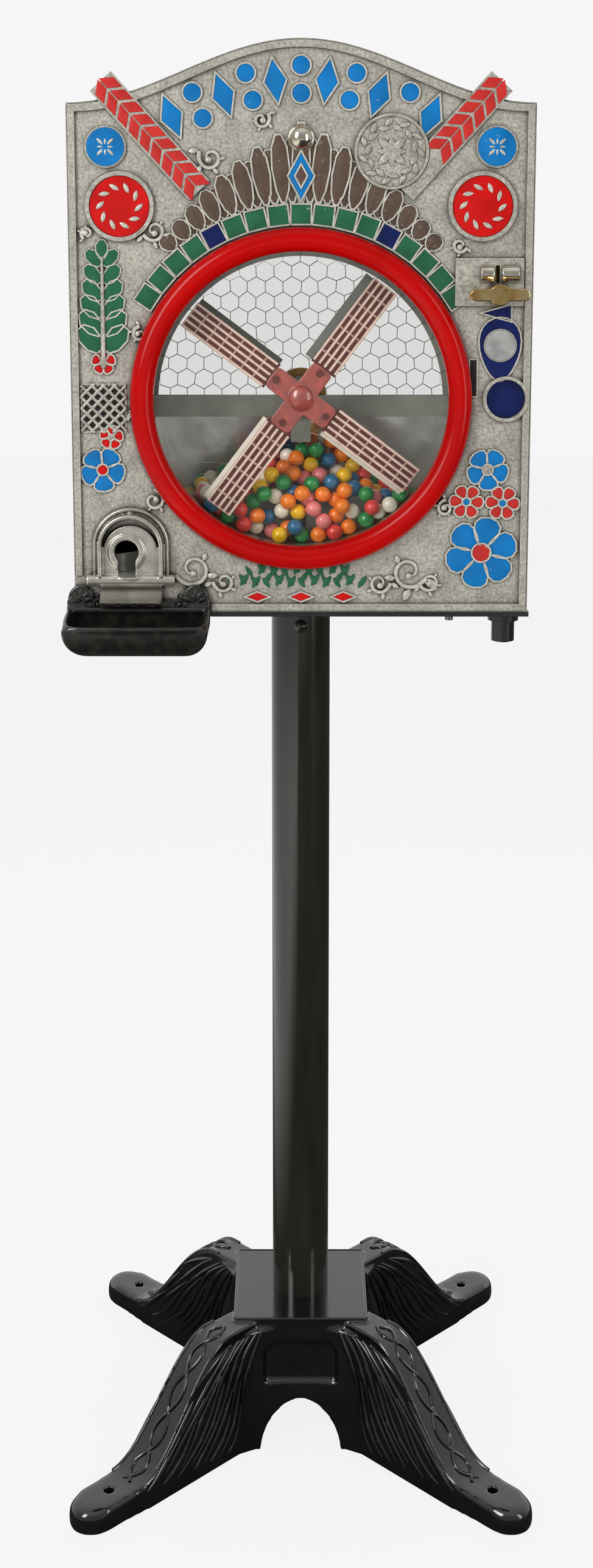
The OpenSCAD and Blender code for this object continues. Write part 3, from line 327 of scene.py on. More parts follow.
@dataclass(frozen=True)
class SailTinplate(Finish):
    """Pressed tinplate: brown-red paint in the recesses, battens rubbed to a pale line, one edge folded over.

    Fields: the sail's angle in degrees, the side that is folded, the fold's colour (painted shade on the upper
    sails, painted highlight on the lower ones), where the battens begin, their pitch and the width of the pale line,
    half the sail's width and the height of the wheel's axis, in millimetres.
    """

    angle: float = 0.0
    side: int = 1
    strip: str = Paint.FOLD_PAINTED_SHADE.value
    face_y: float = -70.35
    pitch: float = 5.05
    line: float = 0.9
    half: float = 10.95
    axis_z: float = 901.0

    def wire(self, tree: Tree, shader: bpy.types.Node, coords: Any) -> None:
        """Colour by how far forward the surface stands and by which side of the sail it is on; the folded side takes
        the fold colour, painted shade on upper sails and painted highlight on lower ones.
        """
        forward = add_node(tree, "ShaderNodeSeparateXYZ", links={"Vector": coords}).outputs["Y"]
        raised = ranged(tree, forward, (self.face_y - 0.2) * MM, (self.face_y + 0.2) * MM, 1.0, 0.0)
        wear = add_node(tree, "ShaderNodeTexNoise", {"Scale": per_mm(7), "Detail": 5.0}, {"Vector": coords})
        kept = ranged(tree, wear.outputs["Fac"], 0.3, 0.5, 0.6, 1.0)
        share = add_node(tree, "ShaderNodeMath", links={0: raised, 1: kept}, operation="MULTIPLY").outputs[0]
        turn = math.radians(self.angle)
        across = Vector((-math.sin(turn), 0.0, math.cos(turn))) * self.side
        from_axis = add_node(tree, "ShaderNodeVectorMath", {1: (0.0, 0.0, self.axis_z * MM)}, {0: coords},
                             operation="SUBTRACT").outputs[0]
        reach = add_node(tree, "ShaderNodeVectorMath", {1: across}, {0: from_axis}, operation="DOT_PRODUCT")
        reach = reach.outputs["Value"]
        wave = add_node(tree, "ShaderNodeMath", {1: self.pitch / 2 * MM}, {0: reach}, operation="PINGPONG").outputs[0]
        rubbed = ranged(tree, wave, self.line / 2 * MM, (self.line / 2 + 0.3) * MM, 1.0, 0.0)
        pale = add_node(tree, "ShaderNodeMath", links={0: share, 1: rubbed}, operation="MULTIPLY").outputs[0]
        colour = tinted(tree, Paint.SAIL_RED.value, Paint.SAIL_BATTEN.value, share)
        colour = tinted(tree, colour, Paint.SAIL_LINE.value, pale)
        # The folded strip: painted shade on the upper sails, painted highlight on the lower ones
        folded = ranged(tree, reach, self.half * MM, (self.half + 0.3) * MM)
        tree.links.new(tinted(tree, colour, self.strip, folded), shader.inputs["Base Color"])
        rough = ranged(tree, wear.outputs["Fac"], 0.2, 0.8, 0.32, 0.55)
        tree.links.new(rough, shader.inputs["Roughness"])


@dataclass(frozen=True)
class LinedSheet(MottledFinish):
    """Sheet with one finish outside and a paler lining on the faces that look towards the front."""

    lining: str = "CBCDC6"

    def wire(self, tree: Tree, shader: bpy.types.Node, coords: Any) -> None:
        """Connect the outer finish, then tint the faces that look towards the front."""
        super().wire(tree, shader, coords)
        normal = add_node(tree, "ShaderNodeNewGeometry").outputs["Normal"]
        facing = add_node(tree, "ShaderNodeSeparateXYZ", links={"Vector": normal}).outputs["Y"]
        outer = shader.inputs["Base Color"].links[0].from_socket
        share = ranged(tree, facing, -0.9, -0.6, 1.0, 0.0)
        tree.links.new(tinted(tree, outer, self.lining, share), shader.inputs["Base Color"])


@dataclass(frozen=True)
class ClearGlass(Finish):
    """Plate glass that lamps shine through."""

    tint: str = "FAFAF8"

    def wire(self, tree: Tree, shader: bpy.types.Node, coords: Any) -> None:
        """Mix clear glass with a plain pass for shadow and diffuse rays."""
        shader.inputs["Base Color"].default_value = linear(self.tint)
        shader.inputs["Transmission Weight"].default_value = 1.0
        shader.inputs["Roughness"].default_value = 0.0
        shader.inputs["IOR"].default_value = 1.22
        rays = add_node(tree, "ShaderNodeLightPath").outputs
        passing = add_node(tree, "ShaderNodeMath", links={0: rays["Is Shadow Ray"], 1: rays["Is Diffuse Ray"]},
                           operation="MAXIMUM").outputs[0]
        clear = add_node(tree, "ShaderNodeBsdfTransparent", {"Color": linear(self.tint)})
        mix = add_node(tree, "ShaderNodeMixShader", links={"Fac": passing, 1: shader.outputs[0],
                                                           2: clear.outputs[0]})
        tree.links.new(mix.outputs[0], tree.nodes["Material Output"].inputs["Surface"])


# Sand-cast front: grey and speckled, its hollows darkened as patina and painted shade, each raised edge brightened as
# wear and painted highlight
ALUMINIUM = MottledFinish("sand_cast_aluminium", base=Paint.ALUMINIUM.value, spot="98948A", blotch=16, grain=2.2,
                          grain_depth=0.3, speck=0.34, metallic=0.35, roughness=0.4, edge=0.8,
                          edge_wear_and_highlight=Paint.BRIGHT_EDGE.value, recess=Paint.RECESS_DARK.value, recess_reach=4.5)
# Raised ornament with a paler base and bright edges, partly wear and partly painted highlight, darkened round its foot
# as patina and painted shade
RELIEF = MottledFinish("rubbed_and_highlit_relief_aluminium", base="CDC9BD", spot="ABA79B", blotch=6, grain=1.6, grain_depth=0.12,
                       speck=0.2, metallic=0.35, roughness=0.36, edge=0.4, edge_wear_and_highlight="F0ECE2", recess=Paint.RECESS_DARK.value,
                       recess_reach=3.0)
# Thick gloss enamel over rough iron: black face on, grey where it mirrors the room
IRON = MottledFinish("enamelled_cast_iron", base=Paint.IRON_BLACK.value, spot="100F0D", blotch=30, grain=7.0,
                     grain_depth=0.2, roughness=0.16, rough_spread=0.06, coat=0.8, gloss=0.6)
# Painted pipe: long soft streaks up its length
POLE = MottledFinish("worn_black_pipe_paint", base=Paint.POLE_BLACK.value, spot="22231C", blotch=14, grain=0.8,
                     grain_depth=0.02, roughness=0.16, rough_spread=0.06, coat=0.5, stretch=(1.0, 1.0, 0.12))
# Smooth black sheet with a little orange peel
BLACK = MottledFinish("black_enamel_on_sheet", base=Paint.ENAMEL_BLACK.value, spot="1B1B19", blotch=40, grain=2.2,
                      grain_depth=0.04, roughness=0.24, coat=0.5, edge=0.8)
# The rear door: black outside, bare and grey inside
DOOR_BLACK = LinedSheet("black_enamel_grey_inside", base=Paint.ENAMEL_BLACK.value, spot="1B1B19", blotch=40, grain=2.2,
                        grain_depth=0.04, roughness=0.24, coat=0.4, edge=0.8)
# Black casting with paler random blotches: handling wear and painted sheen
CUP_BLACK = MottledFinish("black_casting_wear_and_sheen", base="131210", spot="27251F", blotch=9, spot_share=0.62,
                          grain=2.0, grain_depth=0.12, roughness=0.26, coat=0.5)
# Deep gloss red on the round bezel
RING_RED = MottledFinish("red_enamel_on_spun_ring", base="B20101", spot="A00101", blotch=45, grain=9,
                         grain_depth=0.03, roughness=0.18, gloss=0.16)
# Tinned sheet that mirrors in soft waves
TIN = MottledFinish("polished_tinned_sheet", base=Paint.TIN.value, spot="B9BBB7", blotch=26, grain=12,
                    grain_depth=0.2, metallic=0.72, roughness=0.2, rough_spread=0.1)
# Bright plate with yellowed patches
NICKEL = MottledFinish("worn_nickel_plate", base=Paint.NICKEL.value, spot="B9A57E", blotch=9, spot_share=0.66,
                       grain=3, grain_depth=0.03, metallic=1.0, roughness=0.14, rough_spread=0.06, edge=0.5)
# Knob plating worn through to brass by hands
WING_METAL = MottledFinish("nickel_rubbed_to_brass", base="E2C992", spot="BF9650", blotch=10, grain=3,
                           grain_depth=0.03, metallic=1.0, roughness=0.2, rough_spread=0.08, edge=0.5)
# Hand-polished casting, darkened in its recesses as tarnish where the polish never reached and as painted shade
SPOUT_METAL = MottledFinish("polished_cast_aluminium", base="D6D2C7", spot="ABA79C", blotch=12, grain=2.0,
                            grain_depth=0.05, metallic=0.8, roughness=0.24, recess="3A3832", recess_reach=6.0)
# Dull yellow metal of the hidden wheels
BRASS = MottledFinish("aged_brass", base=Paint.BRASS.value, spot="7D6433", blotch=8, grain=2, grain_depth=0.03,
                      metallic=1.0, roughness=0.32, edge=0.3)
# Plain turned steel of shafts and screws
STEEL = MottledFinish("bare_turned_steel", base=Paint.STEEL.value, spot="6E6D67", blotch=10, grain=1.4,
                      grain_depth=0.03, metallic=1.0, roughness=0.34, edge=0.3)
# Flat grey paint on the bar and brackets
BAR_GREY = MottledFinish("grey_painted_bar", base=Paint.BAR_GREY.value, spot="6E7069", blotch=16, grain=1.5,
                         grain_depth=0.05, roughness=0.5, edge=0.6)
# Brown-red hub paint with a shine on its dome
HUB_RED = MottledFinish("worn_hub_paint", base=Paint.HUB_RED.value, spot="7A352D", blotch=9, grain=1.6,
                        grain_depth=0.04, roughness=0.3, coat=1.0)
# Pale grey seal round the glass
RUBBER = MottledFinish("grey_rubber_seal", base=Paint.RUBBER.value, spot="7A7B75", roughness=0.75)
RIVET = MottledFinish("dark_rivet", base="642A24", spot="53231E", blotch=2, roughness=0.35)
LEATHER = MottledFinish("flat_leather_belt", base=Paint.LEATHER.value, spot="3B2E25", blotch=6, grain=1.2,
                        grain_depth=0.12, roughness=0.6, edge=0.3)
# Near-black ground sunk behind the lattice and the slot
RECESS_DARK = MottledFinish("near_black_recess_ground", base="080808", spot="131311", roughness=0.6)
WIRE = MottledFinish("galvanised_wire", base="A2A59E", spot="80837D", blotch=6, grain=1.0, grain_depth=0.03,
                     metallic=0.5, roughness=0.4)
GAUGE_GREY = MottledFinish("dull_zinc_disc", base="AFB1AE", spot="8F918E", blotch=8, grain=1.2, grain_depth=0.05,
                           metallic=0.4, roughness=0.45, edge=0.4)
PLAIN_GUM = MottledFinish("plain_gum", base="D98A3A", spot="C97A30", roughness=0.3)
GLASS = ClearGlass("plate_glass")
# Folds of the two upper sails painted dark as shade, those of the two lower sails pale as a highlight
SAIL_1 = SailTinplate("painted_sail_1", angle=53, side=1)
SAIL_2 = SailTinplate("painted_sail_2", angle=143, side=-1)
SAIL_3 = SailTinplate("painted_sail_3", angle=233, side=-1, strip=Paint.FOLD_PAINTED_HIGHLIGHT.value)
SAIL_4 = SailTinplate("painted_sail_4", angle=323, side=-1, strip=Paint.FOLD_PAINTED_HIGHLIGHT.value)
RED_ENAMEL = WornEnamel("red_relief_enamel", base=Paint.RED.value, worn=0.72)
TILE_ENAMEL = WornEnamel("rubbed_red_enamel", base=Paint.TILE_RED.value, worn=0.66, patch=4.0, metal="A8948C")
BLUE_ENAMEL = WornEnamel("blue_relief_enamel", base=Paint.BLUE.value)
GREEN_ENAMEL = WornEnamel("green_relief_enamel", base=Paint.GREEN.value, worn=0.66, patch=4.0)
NAVY_ENAMEL = WornEnamel("navy_relief_enamel", base=Paint.NAVY.value, worn=0.75, roughness=0.2)
BROWN_WASH = WornEnamel("brown_wash_on_casting", base=Paint.BROWN.value, worn=0.62, patch=4.0, roughness=0.45,
                        metal="8C857A")


class Bench:
    """Hand modelling with operators, one piece at a time."""

    @staticmethod
    def clear() -> None:
        """Go to object mode with nothing selected."""
        if bpy.context.object and bpy.context.object.mode != "OBJECT":
            bpy.ops.object.mode_set(mode="OBJECT")
        bpy.ops.object.select_all(action="DESELECT")

    @classmethod
    def only(cls, *objects: Obj) -> None:
        """Select just these objects, the first of them active."""
        cls.clear()
        for obj in objects:
            obj.select_set(True)
        bpy.context.view_layer.objects.active = objects[0]

    @classmethod
    def add(cls, operator: Callable[..., Any], name: str, **size: Any) -> Obj:
        """Add a primitive.

        Args:
            operator: The operator that adds it.
            name: The piece's name.
            size: The operator's settings.

        Returns:
            The new object.
        """
        cls.clear()
        operator(**size)
        obj = bpy.context.object
        obj.name = name
        return obj

    @classmethod
    def edit(cls, obj: Obj, parts: str, pick: Callable[[Any], bool], *steps: Callable[[], Any]) -> None:
        """Run edit-mode operators on a part of a mesh.

        Args:
            obj: The mesh to shape.
            parts: FACE or VERT, what pick is asked about.
            pick: Tells which faces or vertices to select.
            steps: Calls made one after another on that selection.
        """
        cls.only(obj)
        bpy.ops.object.mode_set(mode="EDIT")
        bpy.ops.mesh.select_mode(type=parts)
        bpy.ops.mesh.select_all(action="DESELECT")
        bpy.ops.object.mode_set(mode="OBJECT")
        for item in obj.data.polygons if parts == "FACE" else obj.data.vertices:
            item.select = pick(item)
        bpy.ops.object.mode_set(mode="EDIT")
        for step in steps:
            step()
        bpy.ops.object.mode_set(mode="OBJECT")

    @classmethod
    def settle(cls, obj: Obj) -> None:
        """Put an object's place into its mesh."""
        cls.only(obj)
        bpy.ops.object.transform_apply(location=True, rotation=True, scale=True)

    @classmethod
    def copy(cls, obj: Obj, name: str, place: Matrix) -> Obj:
        """Copy a piece with its own mesh.

        Args:
            obj: The piece to copy.
            name: The copy's name.
            place: Where the copy goes, as a matrix on the original's mesh.

        Returns:
            The copy, with its place in its mesh and its faces outwards.
        """
        cls.only(obj)
        bpy.ops.object.duplicate(linked=False)
        twin = bpy.context.object
        twin.name = name
        twin.matrix_world = place
        cls.settle(twin)
        if place.determinant() < 0:
            cls.edit(twin, "FACE", lambda face: True, lambda: bpy.ops.mesh.normals_make_consistent(inside=False))
        return twin

    @classmethod
    def join(cls, pieces: Sequence[Obj], name: str) -> Obj:
        """Join pieces into the first of them."""
        cls.only(*pieces)
        if len(pieces) > 1:
            bpy.ops.object.join()
        pieces[0].name = name
        return pieces[0]

    @classmethod
    def modify(cls, obj: Obj, kind: str, **settings: Any) -> None:
        """Add a modifier with these settings and apply it."""
        cls.only(obj)
        modifier = obj.modifiers.new(kind.title(), kind)
        for name, value in settings.items():
            setattr(modifier, name, value)
        bpy.ops.object.modifier_apply(modifier=modifier.name)

    @classmethod
    def smooth(cls, obj: Obj, angle: float = 60.0) -> None:
        """Shade smooth across edges under an angle in degrees."""
        cls.only(obj)
        bpy.ops.object.shade_smooth_by_angle(angle=math.radians(angle))

    @classmethod
    def soften(cls, obj: Obj, voxel: float, passes: int, keep: float = 1.0) -> Obj:
        """Round a casting's edges by rebuilding its skin.

        Args:
            obj: A closed mesh, or several that overlap.
            voxel: Size of the new skin's cells in millimetres.
            passes: Smoothing passes over the new skin.
            keep: Share of the new skin's faces that is kept.

        Returns:
            The piece.
        """
        cls.modify(obj, "REMESH", mode="VOXEL", voxel_size=voxel * MM)
        cls.modify(obj, "SMOOTH", factor=0.5, iterations=passes)
        if keep < 1.0:
            cls.modify(obj, "DECIMATE", ratio=keep)
        cls.only(obj)
        bpy.ops.object.shade_smooth()
        return obj

    @classmethod
    def tube(cls, name: str, points: Sequence[Point], radius: Sequence[float], sides: int = 1,
             fine: int = 5) -> Obj:
        """Make a tube along a smooth path.

        Args:
            name: The piece's name.
            points: Control points in millimetres.
            radius: Tube radius at each point, in millimetres.
            sides: Roundness of the tube.
            fine: Steps between two control points.

        Returns:
            A closed mesh.
        """
        obj = cls.add(bpy.ops.curve.primitive_nurbs_path_add, name)
        spline = obj.data.splines[0]
        spline.points.add(max(0, len(points) - len(spline.points)))
        for knot, point, r in zip(spline.points, points, radius):
            knot.co = (*(c * MM for c in point), 1.0)
            knot.radius = r
        spline.use_endpoint_u = True
        spline.order_u = 4
        spline.resolution_u = fine
        obj.data.bevel_depth = MM
        obj.data.bevel_resolution = sides
        obj.data.use_fill_caps = True
        cls.only(obj)
        bpy.ops.object.convert(target="MESH")
        return bpy.context.object

    @classmethod
    def finish(cls, obj: Obj, body: Body, slot: Slot, *finishes: Finish, replaces: Iterable[str] = ()) -> Obj:
        """Give a piece its materials and its body, and log it.

        Args:
            obj: The finished mesh.
            body: The body it rides on.
            slot: Not used.
            finishes: Its finishes, or none where its material slots are filled already.
            replaces: CAD nodes that it stands for.

        Returns:
            The piece.
        """
        if finishes:
            obj.data.materials.clear()
        for item in finishes:
            obj.data.materials.append(item.material())
        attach(obj, body.value)
        if replaces:
            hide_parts(*replaces)
        LOG.info("%s: %d faces on %s", obj.name, len(obj.data.polygons), body.value)
        return obj


@dataclass
class Landmarks:
    """Places that the art and the fittings are set out from, read from the frame, in millimetres."""

    front_y: float
    window_z: float
    half_w: float
    floor_z: float
    shoulder_z: float
    peak_z: float
    arch_rise: ClassVar[float] = 47.0

    @classmethod
    def read(cls) -> "Landmarks":
        """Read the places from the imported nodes."""
        ring_low, ring_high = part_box("window_ring")
        cast_low, cast_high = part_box("front_casting")
        return cls(front_y=ring_high.y / MM, window_z=(ring_low.z + ring_high.z) / 2 / MM,
                   half_w=(cast_high.x - cast_low.x) / 2 / MM, floor_z=cast_low.z / MM,
                   shoulder_z=cast_high.z / MM - cls.arch_rise, peak_z=cast_high.z / MM)

    def arch(self, x: float) -> float:
        """Height of the casting's top edge at x."""
        return self.shoulder_z + self.arch_rise * (1 + math.cos(math.pi * x / self.half_w)) / 2

    def face(self, x: float, z: float, turn: float = 0.0, lift: float = 0.0, grow: float = 1.0) -> Matrix:
        """Matrix that sets a piece modelled flat, facing +Z, on the front face.

        Args:
            x: Place across, in millimetres.
            z: Height, in millimetres.
            turn: Turn in the plane of the face, in degrees.
            lift: Distance that it stands off the face, in millimetres.
            grow: Scale of the piece.

        Returns:
            The matrix, in metres.
        """
        spot = Vector((x, self.front_y - lift, z)) * MM
        return (Matrix.Translation(spot) @ Matrix.Rotation(math.radians(90), 4, "X")
                @ Matrix.Rotation(math.radians(turn), 4, "Z") @ Matrix.Scale(grow, 4))


@dataclass
class Studio:
    """Camera, lamps, floor and background."""

    eye: Point = (-3.5, -1596.0, 1041.0)
    tilt: float = 10.0
    lens: float = 45.08
    sensor: float = 36.0
    shift_y: float = -0.142
    pale: str = "F6F6F6"
    dim: str = "2A2A29"

    def camera(self) -> None:
        """Place the camera at the photograph's viewpoint."""
        Bench.clear()
        bpy.ops.object.camera_add(location=Vector(self.eye) * MM, rotation=(math.radians(90 - self.tilt), 0, 0))
        camera = bpy.context.object
        camera.data.lens = self.lens
        camera.data.sensor_width = self.sensor
        camera.data.shift_y = self.shift_y
        bpy.context.scene.camera = camera

    def lamp(self, name: str, place: Point, aim: Point, size: tuple[float, float], power: float,
             mirrored: bool = True) -> None:
        """Add a soft rectangular lamp.

        Args:
            name: The lamp's name.
            place: Its place in metres.
            aim: The point it faces, in metres.
            size: Width and height in metres.
            power: Watts.
            mirrored: True where gloss and glass show the lamp.
        """
        Bench.clear()
        turn = (Vector(aim) - Vector(place)).to_track_quat("-Z", "Y").to_euler()
        bpy.ops.object.light_add(type="AREA", location=place, rotation=turn)
        lamp = bpy.context.object
        lamp.name = name
        lamp.data.shape = "RECTANGLE"
        lamp.data.size, lamp.data.size_y = size
        lamp.data.energy = power
        lamp.visible_transmission = lamp.visible_glossy = mirrored

    def lamps(self) -> None:
        """Add a key on the left, a fill on the right, a soft front lamp and one behind the cabinet."""
        self.lamp("key_lamp", (-1.4, -1.6, 1.9), (0, 0, 0.85), (0.7, 1.6), 34)
        self.lamp("fill_lamp", (1.7, -1.4, 1.2), (0, 0, 0.7), (0.5, 1.8), 13)
        self.lamp("front_lamp", (-0.3, -2.4, 0.9), (0, 0, 0.8), (1.4, 1.4), 9, False)
        self.lamp("back_lamp", (0.2, 1.5, 1.5), (0, 0, 0.9), (1.2, 1.2), 12, False)

    def floor(self) -> None:
        """Lay a floor that is pale to the camera, keeps the shadow and mirrors dimly in the gloss."""
        ground = Bench.add(bpy.ops.mesh.primitive_grid_add, "studio_floor", size=14, x_subdivisions=4,
                           y_subdivisions=4)
        mat = bpy.data.materials.new("pale_floor")
        mat.use_nodes = True
        tree = mat.node_tree
        shader = tree.nodes["Principled BSDF"]
        rays = add_node(tree, "ShaderNodeLightPath").outputs
        spot = add_node(tree, "ShaderNodeTexCoord").outputs["Object"]
        way = add_node(tree, "ShaderNodeSeparateXYZ", links={"Vector": spot}).outputs
        near = ranged(tree, way["Y"], -4.0, -2.6)
        right = ranged(tree, way["X"], -0.75, -0.3)
        close = add_node(tree, "ShaderNodeMath", links={0: near, 1: right}, operation="MULTIPLY").outputs[0]
        dim = add_node(tree, "ShaderNodeMath", links={0: close, 1: rays["Is Glossy Ray"]}, operation="MULTIPLY")
        tree.links.new(tinted(tree, "F0F0EE", self.dim, dim.outputs[0]), shader.inputs["Base Color"])
        shader.inputs["Roughness"].default_value = 0.9
        glow = add_node(tree, "ShaderNodeEmission", {"Color": linear(self.pale), "Strength": 1.0})
        seen = ranged(tree, rays["Is Camera Ray"], 0.0, 1.0, 0.0, 0.93)
        mix = add_node(tree, "ShaderNodeMixShader", links={"Fac": seen, 1: shader.outputs[0], 2: glow.outputs[0]})
        tree.links.new(mix.outputs[0], tree.nodes["Material Output"].inputs["Surface"])
        ground.data.materials.append(mat)

    def room(self) -> None:
        """Set a background that is pale to the camera and lights the part from behind and above."""
        world = bpy.data.worlds.new("pale_room")
        world.use_nodes = True
        bpy.context.scene.world = world
        tree = world.node_tree
        way = add_node(tree, "ShaderNodeSeparateXYZ",
                       links={"Vector": add_node(tree, "ShaderNodeTexCoord").outputs["Generated"]}).outputs
        behind = ranged(tree, way["Y"], -0.35, 0.35, 0.34, 0.85)
        above = ranged(tree, way["Z"], 0.3, 0.95, 0.0, 0.8)
        lit = add_node(tree, "ShaderNodeMath", links={0: behind, 1: above}, operation="MAXIMUM").outputs[0]
        rays = add_node(tree, "ShaderNodeLightPath").outputs
        through = add_node(tree, "ShaderNodeMix", {3: 0.8}, {0: rays["Is Transmission Ray"], 2: lit})
        seen = add_node(tree, "ShaderNodeMix", {3: 1.0}, {0: rays["Is Camera Ray"], 2: through.outputs[0]})
        sky = tree.nodes["Background"]
        sky.inputs["Color"].default_value = linear(self.pale)
        tree.links.new(seen.outputs[0], sky.inputs["Strength"])
        bpy.context.scene.view_settings.view_transform = "Standard"

    def build(self) -> None:
        """Set up the whole studio."""
        self.camera()
        self.lamps()
        self.floor()
        self.room()


@dataclass
class CadDress:
    """Finishes for the CAD nodes that keep their own shape, and softened copies of the cast and polished ones."""

    frame: dict[str, Any]
    plain: dict[Finish, str] = field(default_factory=lambda: {
        ALUMINIUM: "front_casting round_plate coin_plate",
        POLE: "pole pole_screw",
        IRON: "top_flange base_casting",
        BLACK: "bottom_plate cabinet_shell hinge_leaves lock_body door_knob",
        DOOR_BLACK: "rear_door",
        CUP_BLACK: "cup_tray",
        RING_RED: "window_ring",
        TIN: "hopper hopper_end wheel_housing delivery_chute coin_chute",
        NICKEL: "top_boss coin_entry lock_barrel",
        WING_METAL: "wing_knob",
        SPOUT_METAL: "delivery_spout",
        STEEL: "tie_rod tie_rod_nuts flange_bolts bottom_screws glass_clips hinge_pins rotor_shaft knob_shaft "
               "drive_shaft wheel_spindle cash_drawer",
        WIRE: "door_mesh",
        BAR_GREY: "crossbar spindle_bracket drive_bracket",
        BRASS: "rotor_bush rotor_peg_wheel coin_wheel knob_peg_wheel drive_peg_wheel drive_pulley "
               "dispensing_wheel spindle_peg_wheel spindle_pulley",
        HUB_RED: "rotor_hub",
        RIVET: "hub_rivets",
        SAIL_1: "sail_1",
        SAIL_2: "sail_2",
        SAIL_3: "sail_3",
        SAIL_4: "sail_4",
        GLASS: "window_glass hopper_glass",
        RUBBER: "glass_gasket",
        LEATHER: "drive_belt",
        PLAIN_GUM: "gumballs",
    })

    def paint(self) -> None:
        """Give every CAD node its finish."""
        for finish, names in self.plain.items():
            for name in names.split():
                node = self.frame["nodes"][name]
                node.data.materials.clear()
                node.data.materials.append(finish.material())
        LOG.info("painted %d nodes", len(self.frame["nodes"]))

    def copy_of(self, node: str, name: str) -> Obj:
        """Return a merged copy of a CAD node's mesh as a new piece."""
        Bench.only(self.frame["nodes"][node])
        bpy.ops.object.duplicate(linked=False)
        piece = bpy.context.object
        piece.name = name
        piece.parent = None
        piece.matrix_world = Matrix.Identity(4)
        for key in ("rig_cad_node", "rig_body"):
            del piece[key]
        Bench.edit(piece, "VERT", lambda vertex: True,
                   lambda: bpy.ops.mesh.remove_doubles(threshold=0.002 * MM))
        return piece

    def cup_rim(self) -> Obj:
        """Make the rolled rim round the mouth of the cup."""
        low, high = (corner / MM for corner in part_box("cup_tray"))
        back, lip = low.y + 42.0, low.z + 24.0
        path = [(low.x + 2, back, lip + 6.4), (low.x + 1, low.y + 20, lip + 3.2), (low.x + 2, low.y + 4, lip + 0.6),
                (low.x + 9, low.y + 0.5, lip), ((low.x + high.x) / 2, low.y + 0.5, lip),
                (high.x - 9, low.y + 0.5, lip), (high.x - 2, low.y + 4, lip + 0.6),
                (high.x - 1, low.y + 20, lip + 3.2), (high.x - 2, back, lip + 6.4)]
        return Bench.tube("cup_rim", path, [2.3] * len(path), 2)

    def castings(self) -> None:
        """Stand softened copies in for the spout, the cup, the knob, the coin cheeks and the hub."""
        for node, voxel, passes, finish, body, slot in (
                ("delivery_spout", 0.7, 3, SPOUT_METAL, Body.MACHINE, Slot.SPOUT),
                ("cup_tray", 0.9, 4, CUP_BLACK, Body.MACHINE, Slot.BLACK),
                ("wing_knob", 0.45, 4, WING_METAL, Body.KNOB, Slot.BRIGHT),
                ("coin_entry", 0.4, 3, NICKEL, Body.MACHINE, Slot.BRIGHT),
                ("rotor_hub", 0.5, 9, HUB_RED, Body.ROTOR, Slot.HUB)):
            piece = self.copy_of(node, f"{node}_cast")
            if node == "cup_tray":
                piece = Bench.join([piece, self.cup_rim()], piece.name)
            Bench.finish(Bench.soften(piece, voxel, passes), body, slot, finish, replaces=[node])


